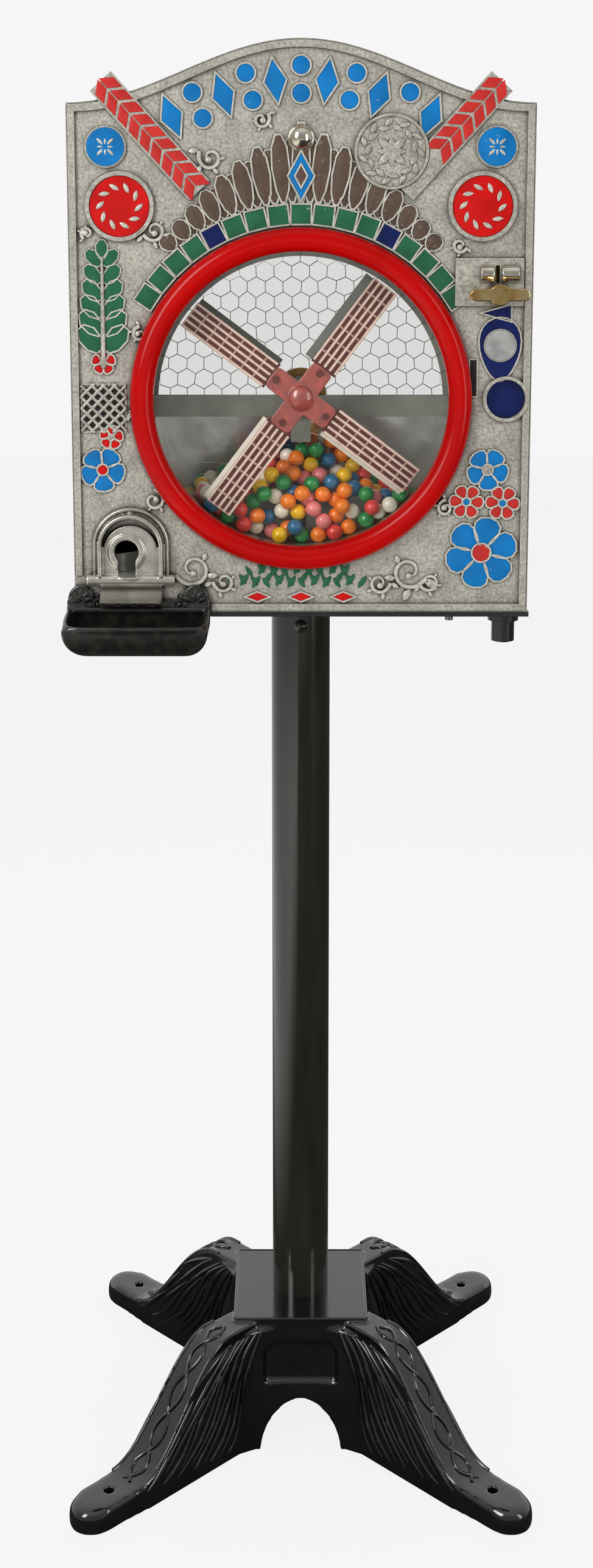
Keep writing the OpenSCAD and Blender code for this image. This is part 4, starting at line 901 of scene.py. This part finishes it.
@dataclass
class CarvedBase:
    """The cast-iron base with its flowing carving, one flank and one ridge modelled and repeated on all legs."""

    dress: CadDress
    foot_h: float = 21.0
    ridge_h: float = 110.0
    ridge_start: float = 98.0
    ridge_end: float = 205.0
    ridge_half: float = 13.0
    toe_starts: tuple[float, ...] = (196.0, 206.0, 216.0)
    hole_s: float = 220.0
    hole_clear: float = 8.0
    plate_half: float = 56.0
    plate_z: float = 112.0
    strands: int = 8
    top_z: float = 102.0
    seed: int = 5
    voxel: float = 1.5

    def ridge(self, s: float) -> float:
        """Height of the leg's ridge at distance s from the pole."""
        share = min(1.0, max(0.0, (s - self.ridge_start) / (self.ridge_end - self.ridge_start)))
        return self.foot_h + (self.ridge_h - self.foot_h) * (1 + math.cos(math.pi * share)) / 2

    def lock(self, base: Obj, across: float, start: float, end: float, wave: float) -> Obj | None:
        """Lay one lock of the carving on the front of the base, right of its middle.

        Args:
            base: The plain base, which the lock lies on.
            across: From 0 beside the panel to 1 along the ridge.
            start: Where it begins, from 0 at the top to 1 at the floor.
            end: Where it ends.
            wave: Phase of its wave in turns.

        Returns:
            A tapered tube, or None where the base is too short there.
        """
        steps = 8
        points = []
        for k in range(steps):
            t = start + (end - start) * k / (steps - 1)
            fall = 0.45 * t + 0.55 * (1 - math.cos(math.pi * t)) / 2
            sway = 1.6 * math.sin(2 * math.pi * (1.4 * t + wave))
            x = 35 + 31 * across + (26 + 60 * across) * t + sway
            z = self.top_z + (8 + 12 * across - self.top_z) * fall
            found, spot, normal, _ = base.ray_cast(Vector((x, -300, z)) * MM, Vector((0, 1, 0)))
            if found and spot.y < 0 and normal.z < 0.5:
                points.append(spot / MM)
        if len(points) < 5:
            return None
        girth = [2.7 * math.sin(math.pi * (0.12 + 0.78 * k / (len(points) - 1))) for k in range(len(points))]
        return Bench.tube("lock", points, girth, fine=3)

    def flank(self, base: Obj) -> Obj:
        """Cover one flank with long locks, and short ones between them lower down."""
        dice = random.Random(self.seed)
        locks = []
        for k in range(self.strands):
            across = k / (self.strands - 1)
            wave = dice.random()
            parting = dice.uniform(0.42, 0.6)
            locks += [self.lock(base, across, 0.0, parting + 0.08, wave), self.lock(base, across, parting, 1.0, wave)]
            if k:
                middle = across - 0.5 / (self.strands - 1)
                locks.append(self.lock(base, middle, dice.uniform(0.3, 0.45), dice.uniform(0.85, 1.0), wave))
        return Bench.join([lock for lock in locks if lock], "flank")

    def crest(self) -> Obj:
        """Model the waves and the edge beads along one ridge, along +X."""
        stations = range(92, 203, 5)
        lines = []
        for hand, reach, turns, girth in ((1, 5.5, 2.6, 1.9), (-1, 5.5, 2.6, 1.9), (1, 0.0, 0.0, 1.5),
                                          (-1, 0.0, 0.0, 1.5)):
            points = []
            for s in stations:
                share = (s - stations[0]) / (stations[-1] - stations[0])
                side = hand * reach * math.sin(2 * math.pi * turns * share) if reach else hand * self.ridge_half
                points.append((s, side * (1 + 0.35 * share), self.ridge(s) - 0.2))
            lines.append(Bench.tube("wave", points, [girth] * len(points)))
        return Bench.join(lines, "crest")

    def plate_lip(self) -> Obj:
        """Make the bead round the top plate."""
        h, z = self.plate_half, self.plate_z
        corners = [(-h, -h), (h, -h), (h, h), (-h, h)]
        sides = []
        for (x0, y0), (x1, y1) in zip(corners, corners[1:] + corners[:1]):
            line = [(x0 + (x1 - x0) * k / 4, y0 + (y1 - y0) * k / 4, z) for k in range(5)]
            sides.append(Bench.tube("lip", line, [1.7] * 5, 2))
        return Bench.join(sides, "plate_lip")

    def in_toe(self, spot: Vector, start: float) -> bool:
        """True beyond a distance from the pole and away from the toe's hole.

        Args:
            spot: A place on the base in metres.
            start: The distance in millimetres.

        Returns:
            Whether the place is rounded over.
        """
        x, y = abs(spot.x) / MM, abs(spot.y) / MM
        hole = self.hole_s / math.sqrt(2)
        return math.hypot(x, y) > start and math.hypot(x - hole, y - hole) > self.hole_clear

    def build(self) -> None:
        """Carve the base and stand it in for the CAD node."""
        base = self.dress.copy_of("base_casting", "carved_base")
        flank, crest = self.flank(base), self.crest()
        flip = Matrix.Diagonal((-1, 1, 1, 1))
        carving = [self.plate_lip()]
        for quarter in range(4):
            turn = Matrix.Rotation(math.radians(90 * quarter), 4, "Z")
            carving += [Bench.copy(flank, "flank", turn), Bench.copy(flank, "flank", turn @ flip),
                        Bench.copy(crest, "crest", turn @ Matrix.Rotation(math.radians(45), 4, "Z"))]
        for blank in (flank, crest):
            bpy.data.objects.remove(blank)
        Bench.soften(base, self.voxel, 4)
        for start in self.toe_starts:
            Bench.edit(base, "VERT", lambda vertex: self.in_toe(vertex.co, start),
                       lambda: bpy.ops.mesh.vertices_smooth(factor=0.5, repeat=11))
        Bench.modify(base, "DECIMATE", ratio=0.5)
        Bench.finish(base, Body.MACHINE, Slot.IRON, IRON, replaces=["base_casting"])
        relief = Bench.join(carving, "base_carving")
        Bench.smooth(relief)
        Bench.finish(relief, Body.MACHINE, Slot.IRON, IRON)


@dataclass
class FrontArt:
    """Painted and bare relief on the cast front: generic ornament in the machine's colours."""

    marks: Landmarks
    rim: float = 1.1
    proud: float = 1.7
    sink: float = 0.7
    count: int = 0

    @property
    def medal(self) -> Vector:
        """Middle of the round plate on the face, in millimetres."""
        return Vector((68.0, self.marks.floor_z + 352.5))

    def name(self, word: str) -> str:
        """Return a numbered name for the next piece."""
        self.count += 1
        return f"relief_{word}_{self.count:03d}"

    def cell(self, sides: int, width: float, height: float, enamel: Finish, turn: float = 0.0, taper: float = 0.0,
             foot: bool = False) -> Obj:
        """Model an enamelled cell with a raised bare rim, flat and facing +Z.

        Args:
            sides: Corners of its outline.
            width: Size across in millimetres.
            height: Size upwards in millimetres.
            enamel: The finish of its sunken field.
            turn: First corner's angle in degrees.
            taper: How much wider it gets upwards, as a factor.
            foot: True where its origin is at its foot, not in its middle.

        Returns:
            The cell.
        """
        obj = Bench.add(bpy.ops.mesh.primitive_cylinder_add, "cell", vertices=sides, radius=0.5, depth=1,
                        rotation=(0, 0, math.radians(turn)))
        Bench.settle(obj)
        span_x, span_y = (2 * max(v.co[axis] for v in obj.data.vertices) for axis in (0, 1))
        obj.scale = Vector((width / span_x, height / span_y, self.proud)) * MM
        Bench.settle(obj)
        if taper:
            Bench.modify(obj, "SIMPLE_DEFORM", deform_method="TAPER", deform_axis="Y", factor=taper, lock_z=True)
        obj.location = Vector((0, height / 2 if foot else 0, self.proud / 2 - 0.2)) * MM
        Bench.settle(obj)
        Bench.edit(obj, "FACE", lambda f: f.normal.z > 0.9,
                   lambda: bpy.ops.mesh.inset(thickness=self.rim * MM, depth=0),
                   lambda: bpy.ops.mesh.inset(thickness=0.3 * MM, depth=-self.sink * MM),
                   lambda: bpy.ops.mesh.inset(thickness=min(width, height) * 0.12 * MM, depth=0.35 * MM))
        obj.data.materials.append(RELIEF.material())
        obj.data.materials.append(enamel.material())
        for face in obj.data.polygons:
            if face.normal.z > 0.7 and face.center.z < (self.proud - 0.35) * MM:
                face.material_index = 1
        Bench.smooth(obj, 35)
        return obj

    def set_out(self, word: str, blank: Obj, places: Sequence[Matrix], *finishes: Finish, body: Body = Body.MACHINE,
                slot: Slot = Slot.CAST) -> Obj:
        """Copy a blank to each of its places, as one piece, and remove the blank.

        Args:
            word: What it is, for its name.
            blank: The piece to repeat.
            places: Where the copies go.
            finishes: Its finishes, or none for the blank's own materials.
            body: The body it rides on.
            slot: The record's material slot.

        Returns:
            The piece.
        """
        copies = [Bench.copy(blank, word, place) for place in places]
        bpy.data.objects.remove(blank)
        return Bench.finish(Bench.join(copies, self.name(word)), body, slot, *finishes)

    def leaf(self, length: float, width: float, depth: float) -> Obj:
        """Model one leaf lying along +Y from the origin, with pointed ends and a sunken vein."""
        leaf = Bench.add(bpy.ops.mesh.primitive_uv_sphere_add, "leaf_blank", segments=12, ring_count=10, radius=0.5,
                         rotation=(math.radians(90), 0, 0))
        Bench.settle(leaf)
        for reach, pinch in ((0.22, 0.86), (0.36, 0.7)):
            Bench.edit(leaf, "VERT", lambda v, r=reach: abs(v.co.y) > r,
                       lambda p=pinch: bpy.ops.transform.resize(value=(p, 1, 1)))
        Bench.edit(leaf, "VERT", lambda v: abs(v.co.x) < 0.02 and v.co.z > 0.05,
                   lambda: bpy.ops.transform.translate(value=(0, 0, -0.13)))
        leaf.scale = Vector((width, length, depth * 2)) * MM
        leaf.location.y = length / 2 * MM
        Bench.settle(leaf)
        Bench.smooth(leaf, 60)
        return leaf

    def flower(self, x: float, z: float, reach: float, petals: int, enamel: Finish, heart: Finish,
               turn: float = 0.0) -> None:
        """Set a flower of rimmed petals on the face.

        Args:
            x: Place across, in millimetres.
            z: Height, in millimetres.
            reach: Reach of the petals in millimetres.
            petals: How many.
            enamel: Finish of the petals.
            heart: Finish of the round middle.
            turn: Angle of the first petal in degrees.
        """
        width = 1.25 * reach * math.tan(math.pi / petals)
        petal = self.cell(12, width, reach * 0.86, enamel, taper=0.7, foot=True)
        step = Matrix.Translation((0, reach * 0.14 * MM, 0))
        places = [self.marks.face(x, z, turn + 360 * k / petals, 0.05 * k) @ step for k in range(petals)]
        self.set_out("flower", petal, places)
        self.set_out("flower_heart", self.cell(16, reach * 0.56, reach * 0.56, heart), [self.marks.face(x, z, 0, 0.8)])

    def coil(self, size: float, turn: float, hand: int, stem_r: float = 2.1) -> Obj:
        """Model a leaf scroll, flat and facing +Z: a coiled stem with leaves along its back.

        Args:
            size: Radius of the coil in millimetres.
            turn: Angle of the stem's foot in degrees.
            hand: 1 or -1, the way it coils.
            stem_r: Radius of the stem's foot in millimetres.

        Returns:
            The scroll.
        """
        steps = 14
        points = []
        for k in range(steps):
            angle = math.radians(turn + hand * 430 * k / (steps - 1))
            reach = size * (1 - 0.76 * k / (steps - 1))
            points.append((reach * math.cos(angle), reach * math.sin(angle), 0.8))
        girth = [stem_r * (1 - 0.45 * k / (steps - 1)) for k in range(steps)]
        bud = Bench.add(bpy.ops.mesh.primitive_uv_sphere_add, "bud", segments=12, ring_count=8, radius=stem_r * 1.3 * MM,
                        location=Vector(points[-1]) * MM)
        Bench.modify(bud, "CAST", cast_type="SPHERE", factor=0.5)
        parts = [Bench.tube("stem", points, girth), bud]
        blank = self.leaf(size * 0.85, size * 0.46, 2.2)
        for k in (0, 2, 4, 6):
            px, py, _ = points[k]
            aim = math.degrees(math.atan2(py, px)) - 90 + hand * 30
            place = Matrix.Translation(Vector((px, py, 0.8)) * MM) @ Matrix.Rotation(math.radians(aim), 4, "Z")
            parts.append(Bench.copy(blank, "scroll_leaf", place @ Matrix.Scale(1 - 0.07 * k, 4)))
        bpy.data.objects.remove(blank)
        piece = Bench.join(parts, "scroll")
        Bench.settle(piece)
        Bench.smooth(piece, 60)
        return piece

    def scrolls(self) -> None:
        """Set the bare scrolls in the corners and along the foot."""
        z = self.marks.floor_z
        for x, height, size, turn, hand in ((-84, 34, 15, 200, 1), (84, 32, 15, -20, -1), (-60, 24, 9, 180, 1),
                                            (61, 23, 9, 0, -1), (-111, 294, 9, 200, 1), (120, 283, 6, -20, -1),
                                            (-114, 88, 9, 90, -1), (112, 82, 7, 90, 1), (-162, 292, 5, 240, -1),
                                            (-68, 348, 10, 150, 1), (-123, 216, 6, 90, 1), (100, 24, 8, 200, 1),
                                            (-30, 376, 7, 40, -1), (-128, 152, 5, 200, -1)):
            self.set_out("scroll", self.coil(size, turn, hand), [self.marks.face(x, z + height)], RELIEF)

    def arch_row(self) -> None:
        """Set the row of blue ornament under the arched top."""
        marks = self.marks
        lozenges, roundels = [], []
        for k in range(11):
            x = -97 + 194 * k / 10
            slope = math.atan2(marks.arch(x + 1) - marks.arch(x - 1), 2)
            z = marks.arch(x) - 30
            if k % 2 == 0:
                lozenges.append(marks.face(x, z, math.degrees(slope)))
            else:
                spots = [Vector((x - step * math.sin(slope), z + step * math.cos(slope))) for step in (-10.2, 10.2)]
                roundels += [marks.face(*spot) for spot in spots if (spot - self.medal).length > 38]
        self.set_out("lozenges", self.cell(4, 19, 38, BLUE_ENAMEL), lozenges)
        self.set_out("roundels", self.cell(20, 16, 16, BLUE_ENAMEL), roundels)

    def palmette(self) -> None:
        """Set the fan of brown leaves over the window and the green band under it."""
        marks = self.marks
        number, spread = 17, 40.0
        places = []
        for k in range(2 * number - 1):
            lean = spread * (k / (number - 1) - 1)
            reach = (14 + 46 * (1 - abs(lean) / spread) ** 1.4) * (0.86 if k % 2 else 1.0)
            places.append(marks.face(0, marks.window_z, lean, 0.05 * (k % 4) - 0.75 * (k % 2) + 0.1)
                          @ Matrix.Translation((0, 149 * MM, 0)) @ Matrix.Diagonal((1, reach / 40, 1, 1)))
        self.set_out("palmette", self.cell(10, 14.6, 40, BROWN_WASH, 90, 0.3, True), places)
        tiles: dict[Finish, list[Matrix]] = {GREEN_ENAMEL: [], NAVY_ENAMEL: []}
        for k in range(17):
            angle = 34 + 112 * k / 16
            turn = math.radians(angle)
            enamel = NAVY_ENAMEL if k in (4, 12) else GREEN_ENAMEL
            tiles[enamel].append(marks.face(140.6 * math.cos(turn), marks.window_z + 140.6 * math.sin(turn), angle - 90))
        for enamel, spots in tiles.items():
            self.set_out("tiles", self.cell(4, 16.8, 16.6, enamel, 45), spots)

    def leaf_column(self) -> None:
        """Set the green leaf column on the left, on its stem, with a red bud at its foot."""
        marks = self.marks
        places = []
        for k in range(6):
            for side in (-1, 1):
                places.append(marks.face(-151 + side * 1.5, 938 + 13.0 * k, -side * 40, 0.05 * k + (side > 0) * 0.02,
                                         1.0 - 0.075 * k))
        places.append(marks.face(-151, 1008, 0, 0.3, 0.6))
        self.set_out("leaf_column", self.cell(8, 16, 25, GREEN_ENAMEL, 22.5, 0.2, True), places)
        stem = Bench.tube(self.name("stem"), [(-151, marks.front_y - 1.5, z) for z in (926, 950, 975, 1000, 1010)],
                          (2.2, 2.0, 1.7, 1.4, 1.0))
        Bench.smooth(stem)
        Bench.finish(stem, Body.MACHINE, Slot.CAST, ALUMINIUM)
        self.flower(-151, 930, 10, 5, RED_ENAMEL, ALUMINIUM)

    def lattice(self) -> None:
        """Set the pale diamond lattice over its dark ground on the left."""
        marks = self.marks
        low, high, left, right = 876.0, 914.0, -169.0, -134.0
        middle = ((left + right) / 2, (low + high) / 2)
        ground = self.cell(4, right - left, high - low, RECESS_DARK, 45)
        self.set_out("lattice_ground", ground, [marks.face(*middle, lift=-0.9)])
        bars = []
        for k in range(-4, 5):
            for lean in (-1, 1):
                ends = []
                for x in (left + 0.5 * i for i in range(int(2 * (right - left)) + 1)):
                    z = middle[1] + 8.6 * k + lean * (x - middle[0])
                    if low <= z <= high:
                        ends.append((x, z))
                if len(ends) > 8:
                    (x0, z0), (x1, z1) = ends[0], ends[-1]
                    line = [(x0 + (x1 - x0) * i / 4, marks.front_y - 0.9, z0 + (z1 - z0) * i / 4) for i in range(5)]
                    bars.append(Bench.tube("lattice_bar", line, (1.35,) * 5))
        grille = Bench.join(bars, self.name("lattice"))
        Bench.smooth(grille)
        Bench.finish(grille, Body.MACHINE, Slot.CAST, ALUMINIUM)

    def bars(self) -> None:
        """Set red chevron tiles on the two slanting bars."""
        marks = self.marks
        top, low = Vector((150.0, marks.shoulder_z + 15.5)), Vector((76.6, marks.shoulder_z - 64.8))
        run = low - top
        number = 9
        blank = Bench.add(bpy.ops.mesh.primitive_grid_add, "tile_blank", size=1, x_subdivisions=2, y_subdivisions=2)
        blank.scale = Vector((8.9, 9.6, 1.0)) * MM
        Bench.settle(blank)
        Bench.modify(blank, "SOLIDIFY", thickness=1.1 * MM, offset=-1.0)
        Bench.edit(blank, "VERT", lambda v: v.co.x > 2 * MM,
                   lambda: bpy.ops.transform.translate(value=(0, -3.4 * MM, 0)))
        Bench.edit(blank, "VERT", lambda v: v.co.x < -2 * MM,
                   lambda: bpy.ops.transform.translate(value=(0, 3.4 * MM, 0)))
        Bench.modify(blank, "BEVEL", width=0.4 * MM, segments=2)
        Bench.smooth(blank, 40)
        places = []
        for side in (-1, 1):
            along = math.degrees(math.atan2(run.y, run.x * side))
            for k in range(number):
                spot = top + run * ((k + 0.5) / number)
                if side > 0 and (spot - self.medal).length < 36:
                    continue
                for half in (-1, 1):
                    shift = Matrix.Translation(Vector((half * 4.9, 0, 0)) * MM)
                    places.append(marks.face(side * spot.x, spot.y, along + 90, 2.5) @ shift
                                  @ Matrix.Diagonal((half, 1, 1, 1)))
        self.set_out("chevrons", blank, places, TILE_ENAMEL)

    def inlay(self, word: str, x: float, z: float, radius: float, lift: float, dome: float, enamel: Finish) -> None:
        """Fill a round field with slightly domed enamel.

        Args:
            word: What it is, for its name.
            x: Place across, in millimetres.
            z: Height, in millimetres.
            radius: Radius in millimetres.
            lift: Height of its edge over the face, in millimetres.
            dome: Rise of its middle, in millimetres.
            enamel: Its finish.
        """
        obj = Bench.add(bpy.ops.mesh.primitive_cylinder_add, word, vertices=48, radius=radius * MM, depth=0.6 * MM)
        for _ in range(3):
            Bench.edit(obj, "FACE", lambda f: f.normal.z > 0.9 and len(f.vertices) > 4,
                       lambda: bpy.ops.mesh.inset(thickness=radius * 0.24 * MM, depth=dome / 3 * MM))
        Bench.smooth(obj, 50)
        self.set_out(word, obj, [self.marks.face(x, z, lift=lift)], enamel)

    def discs(self) -> None:
        """Fill the discs, ovals, gauge and return dish, with bare leaves on the coloured ones."""
        marks = self.marks
        wreath, sparks = [], []
        for side in (-1, 1):
            z = marks.floor_z + 312
            self.inlay("disc", side * 137, z, 22.6, 2.2, 0.6, RED_ENAMEL)
            self.inlay("oval", side * 147, marks.floor_z + 356, 14.2, 2.1, 0.9, BLUE_ENAMEL)
            for k in range(10):
                turn = math.radians(36 * k)
                wreath.append(marks.face(side * 137 + 12 * math.sin(turn), z + 12 * math.cos(turn), -36 * k + 60, 2.9))
            sparks += [marks.face(side * 147, marks.floor_z + 356, 45 * k, 3.0, 1.0 if k % 2 else 0.7)
                       for k in range(8)]
        self.set_out("wreath", self.leaf(8.5, 3.6, 1.1), wreath, RELIEF)
        step = Matrix.Translation((0, 2.0 * MM, 0))
        self.set_out("sparks", self.leaf(7, 2.4, 0.9), [spot @ step for spot in sparks], RELIEF)
        self.inlay("gauge", 152, marks.floor_z + 207.5, 11.6, 2.1, 0.4, GAUGE_GREY)
        self.inlay("dish", 157, marks.floor_z + 166.5, 14.6, -4.2, -0.2, NAVY_ENAMEL)

    def gauge_field(self) -> None:
        """Set the navy field round the gauge disc, its pointed head and the dark slot beside it."""
        face = self.marks.face
        self.set_out("gauge_field", self.cell(24, 33, 50, NAVY_ENAMEL, 0, 0.5), [face(152, 940, 0, -0.5)])
        self.set_out("gauge_head", self.cell(3, 18, 15, NAVY_ENAMEL, 90), [face(152, 967.5, 0, -0.4)])
        self.set_out("slot", self.cell(4, 7.5, 30, RECESS_DARK, 45), [face(131.8, 918, 0, -0.6)])

    def medallion(self) -> None:
        """Set a leaf wreath and a rosette on the round plate, and the blue lozenge under the boss."""
        x, z = self.medal
        wreath = []
        for k in range(22):
            turn = math.radians(360 * k / 22)
            wreath.append(self.marks.face(x + 19.5 * math.sin(turn), z + 19.5 * math.cos(turn),
                                          -360 * k / 22 - 90 + (28 if k % 2 else -28), 2.2))
        self.set_out("wreath", self.leaf(9, 4.4, 1.4), wreath, ALUMINIUM)
        rosette = [self.marks.face(x, z, 45 * k, 2.2 + 0.05 * (k % 2), 1.0 if k % 2 else 0.8) for k in range(8)]
        self.set_out("rosette", self.leaf(14, 6.2, 1.5), rosette, ALUMINIUM)
        self.set_out("keystone", self.cell(4, 22, 40, BLUE_ENAMEL), [self.marks.face(0, 1070, 0, 0.9)])
        self.set_out("keystone_heart", self.cell(4, 11, 20, BROWN_WASH), [self.marks.face(0, 1070, 0, 1.5)])

    def foot_border(self) -> None:
        """Set the two rows of green sprigs and the red lozenges along the foot of the face."""
        z = self.marks.floor_z
        sprigs = []
        for row, (height, half) in enumerate(((19, 52), (28, 40))):
            number = int(2 * half / 4.6)
            for k in range(number):
                lean = -34 if k % 2 else 34
                sprigs.append(self.marks.face(-half + 4.6 * (k + 0.5 * row), z + height + 1.5 * (k % 3), lean, 0.0,
                                              0.85 + 0.15 * (k % 2)))
        self.set_out("sprigs", self.leaf(11.5, 4.0, 1.7), sprigs, GREEN_ENAMEL)
        self.set_out("foot_lozenges", self.cell(4, 23, 9.5, RED_ENAMEL),
                     [self.marks.face(x, z + 12) for x in (-34, 0, 33)])

    def cup_trim(self) -> None:
        """Set leaves, coils and beads on the black back plate of the cup."""
        low, high = (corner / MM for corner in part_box("cup_tray"))
        face, lift = self.marks.face, 7.0
        leaves = []
        for x, hand in ((low.x + 11, -1), (high.x - 11, 1)):
            leaves += [face(x, high.z - 13, hand * (-70 + 35 * k), lift) for k in range(5)]
        span = high.x - low.x - 34
        for k in range(13):
            leaves.append(face(low.x + 17 + span * k / 12, high.z - 18, -50 if k % 2 else 50, lift, 0.6))
        self.set_out("cup_leaves", self.leaf(11, 4.6, 1.8), leaves, CUP_BLACK, slot=Slot.BLACK)
        for x, hand in ((low.x + 25, 1), (high.x - 25, -1)):
            self.set_out("cup_scroll", self.coil(5.5, 90, hand, 1.4), [face(x, high.z - 15, 0, lift)], CUP_BLACK,
                         slot=Slot.BLACK)
        bead = Bench.add(bpy.ops.mesh.primitive_uv_sphere_add, "bead", segments=12, ring_count=8, radius=1.9 * MM)
        Bench.modify(bead, "CAST", cast_type="SPHERE", factor=0.5)
        Bench.smooth(bead, 80)
        beads = [face(low.x + 5 + (high.x - low.x - 10) * k / 21, high.z - 19.5, 0, lift) for k in range(22)]
        self.set_out("cup_beads", bead, beads, CUP_BLACK, slot=Slot.BLACK)

    def build(self) -> None:
        """Set out all the relief."""
        z = self.marks.floor_z
        self.arch_row()
        self.palmette()
        self.leaf_column()
        self.lattice()
        self.bars()
        self.discs()
        self.gauge_field()
        self.medallion()
        for x, height, reach, petals, enamel, heart in (
                (-153, 112, 18, 5, BLUE_ENAMEL, RED_ENAMEL), (-146, 137, 10, 5, RED_ENAMEL, ALUMINIUM),
                (140, 47, 29, 6, BLUE_ENAMEL, TILE_ENAMEL), (128, 87, 14, 6, TILE_ENAMEL, BLUE_ENAMEL),
                (156, 86, 14, 6, TILE_ENAMEL, BLUE_ENAMEL), (144, 112, 17, 5, BLUE_ENAMEL, ALUMINIUM)):
            self.flower(x, z + height, reach, petals, enamel, heart, height)
        self.scrolls()
        self.foot_border()
        self.cup_trim()


class Gum(str, Enum):
    """Candy colours of the gum balls."""

    WHITE = "FBF4E6"
    YELLOW = "FFC800"
    ORANGE = "FF8410"
    PINK = "F9878A"
    CORAL = "EC3F3A"
    GREEN = "229048"
    BLUE = "1F6C9C"


@dataclass
class BallHeap:
    """The heap of gum balls, settled one by one into the half-round hopper."""

    marks: Landmarks
    ball_r: float = 6.35
    trough_r: float = 118.0
    front: float = -55.2
    rear: float = 69.5
    tries: int = 3800
    seed: int = 11
    heap_front: float = 80.0
    heap_rise: float = 56.0
    spread_x: float = 54.0
    spread_y: float = 38.0

    def top(self, x: float, y: float) -> float:
        """Height of the heap at a place."""
        bulge = math.exp(-((x / self.spread_x) ** 2) - (y / self.spread_y) ** 2)
        return self.marks.window_z - self.heap_front + self.heap_rise * bulge

    def rest(self, x: float, y: float, balls: list[Vector]) -> tuple[float, Vector | None]:
        """Height at which a ball dropped at x, y first touches something, and the ball it touches."""
        reach = self.trough_r - self.ball_r - 0.2
        height = self.marks.window_z - math.sqrt(max(0.0, reach ** 2 - x ** 2))
        touched = None
        for ball in balls:
            gap = (ball.x - x) ** 2 + (ball.y - y) ** 2
            if gap < 4 * self.ball_r ** 2:
                z = ball.z + math.sqrt(4 * self.ball_r ** 2 - gap)
                if z > height:
                    height, touched = z, ball
        return height, touched

    def settle(self) -> list[Vector]:
        """Drop balls at random places and let each roll downhill.

        Returns:
            The centres of the balls, in millimetres.
        """
        dice = random.Random(self.seed)
        balls: list[Vector] = []
        limit = self.trough_r - self.ball_r - 6
        for _ in range(self.tries):
            x, y = dice.uniform(-limit, limit), dice.uniform(self.front, self.rear)
            z, touched = self.rest(x, y, balls)
            for _ in range(30):
                away = Vector((x - touched.x, y - touched.y)) if touched else Vector((-x, 0))
                if away.length < 0.01:
                    break
                away.normalize()
                nx = min(limit, max(-limit, x + away.x * 0.9))
                ny = min(self.rear, max(self.front, y + away.y * 0.9))
                nz, hit = self.rest(nx, ny, balls)
                if nz >= z - 0.01:
                    break
                x, y, z, touched = nx, ny, nz, hit
            strap = abs(x) < 15.5 and -37 < y < 17.5 and z > self.marks.window_z - 46
            if z <= self.top(x, y) and not strap:
                balls.append(Vector((x, y, z)))
        return balls

    def shown(self, ball: Vector) -> bool:
        """True for a ball in the outer layers of the heap."""
        return ball.y < self.front + 16 or ball.z > self.top(ball.x, ball.y) - 20

    def build(self) -> None:
        """Make the balls, one piece for each colour."""
        dice = random.Random(self.seed + 1)
        groups: dict[Gum, list[Obj]] = {gum: [] for gum in Gum}
        blanks = {}
        for detail in (2, 3):
            blank = Bench.add(bpy.ops.mesh.primitive_ico_sphere_add, "ball_blank", subdivisions=detail,
                              radius=self.ball_r * MM)
            Bench.modify(blank, "CAST", cast_type="SPHERE", factor=0.6)
            Bench.only(blank)
            bpy.ops.object.shade_smooth()
            blanks[detail] = blank
        kinds = list(Gum)
        for ball in filter(self.shown, self.settle()):
            near = ball.y < self.front + 30
            gum = kinds[dice.randrange(len(kinds))]
            groups[gum].append(Bench.copy(blanks[3 if near else 2], "ball", Matrix.Translation(ball * MM)))
        for blank in blanks.values():
            bpy.data.objects.remove(blank)
        for k, (gum, balls) in enumerate(groups.items()):
            finish = MottledFinish(f"gum_shell_{gum.name.lower()}", base=gum.value, spot=gum.value, blotch=4, grain=3,
                                   grain_depth=0.06, roughness=0.3, coat=0.25)
            piece = Bench.join(balls, f"gum_balls_{gum.name.lower()}")
            Bench.finish(piece, Body.MACHINE, Slot.GUM, finish, replaces=["gumballs"] if k == 0 else [])


@dataclass
class WireNet:
    """The hexagonal wire net in the rear door."""

    marks: Landmarks
    pitch: float = 15.0
    wire: float = 0.75
    jitter: float = 1.2
    arch_r: float = 124.0
    sill: float = 16.0
    seed: int = 3

    def build(self) -> None:
        """Lay flat six-sided cells over the arch, weld them and turn their edges into wire."""
        low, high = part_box("door_mesh")
        cell = Bench.add(bpy.ops.mesh.primitive_circle_add, "cell", vertices=6, radius=self.pitch / math.sqrt(3) * MM,
                         fill_type="NGON", rotation=(math.radians(90), 0, 0))
        Bench.settle(cell)
        row = self.pitch * math.sqrt(3) / 2
        base = Vector((0, (low.y + high.y) / 2, (self.marks.window_z - self.sill) * MM))
        cells = []
        for k in range(10):
            for i in range(-9, 10):
                x, z = self.pitch * (i + (k % 2) / 2), row * (k + 0.4)
                if math.hypot(x, z) < self.arch_r:
                    cells.append(Bench.copy(cell, "cell", Matrix.Translation(base + Vector((x, 0, z)) * MM)))
        bpy.data.objects.remove(cell)
        net = Bench.join(cells, "wire_net")
        Bench.edit(net, "VERT", lambda vertex: True, lambda: bpy.ops.mesh.remove_doubles(threshold=0.5 * MM),
                   lambda: bpy.ops.transform.vertex_random(offset=self.jitter * MM, seed=self.seed))
        Bench.modify(net, "WIREFRAME", thickness=self.wire * MM, use_even_offset=False)
        Bench.finish(net, Body.DOOR, Slot.STEEL, WIRE, replaces=["door_mesh"])


def main() -> None:
    """Build the scene."""
    logging.basicConfig(level=logging.INFO, format="%(name)s %(message)s")
    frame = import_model()
    marks = Landmarks.read()
    Studio().build()
    dress = CadDress(frame)
    dress.paint()
    dress.castings()
    CarvedBase(dress).build()
    FrontArt(marks).build()
    BallHeap(marks).build()
    WireNet(marks).build()


if __name__ == "__main__":
    main()
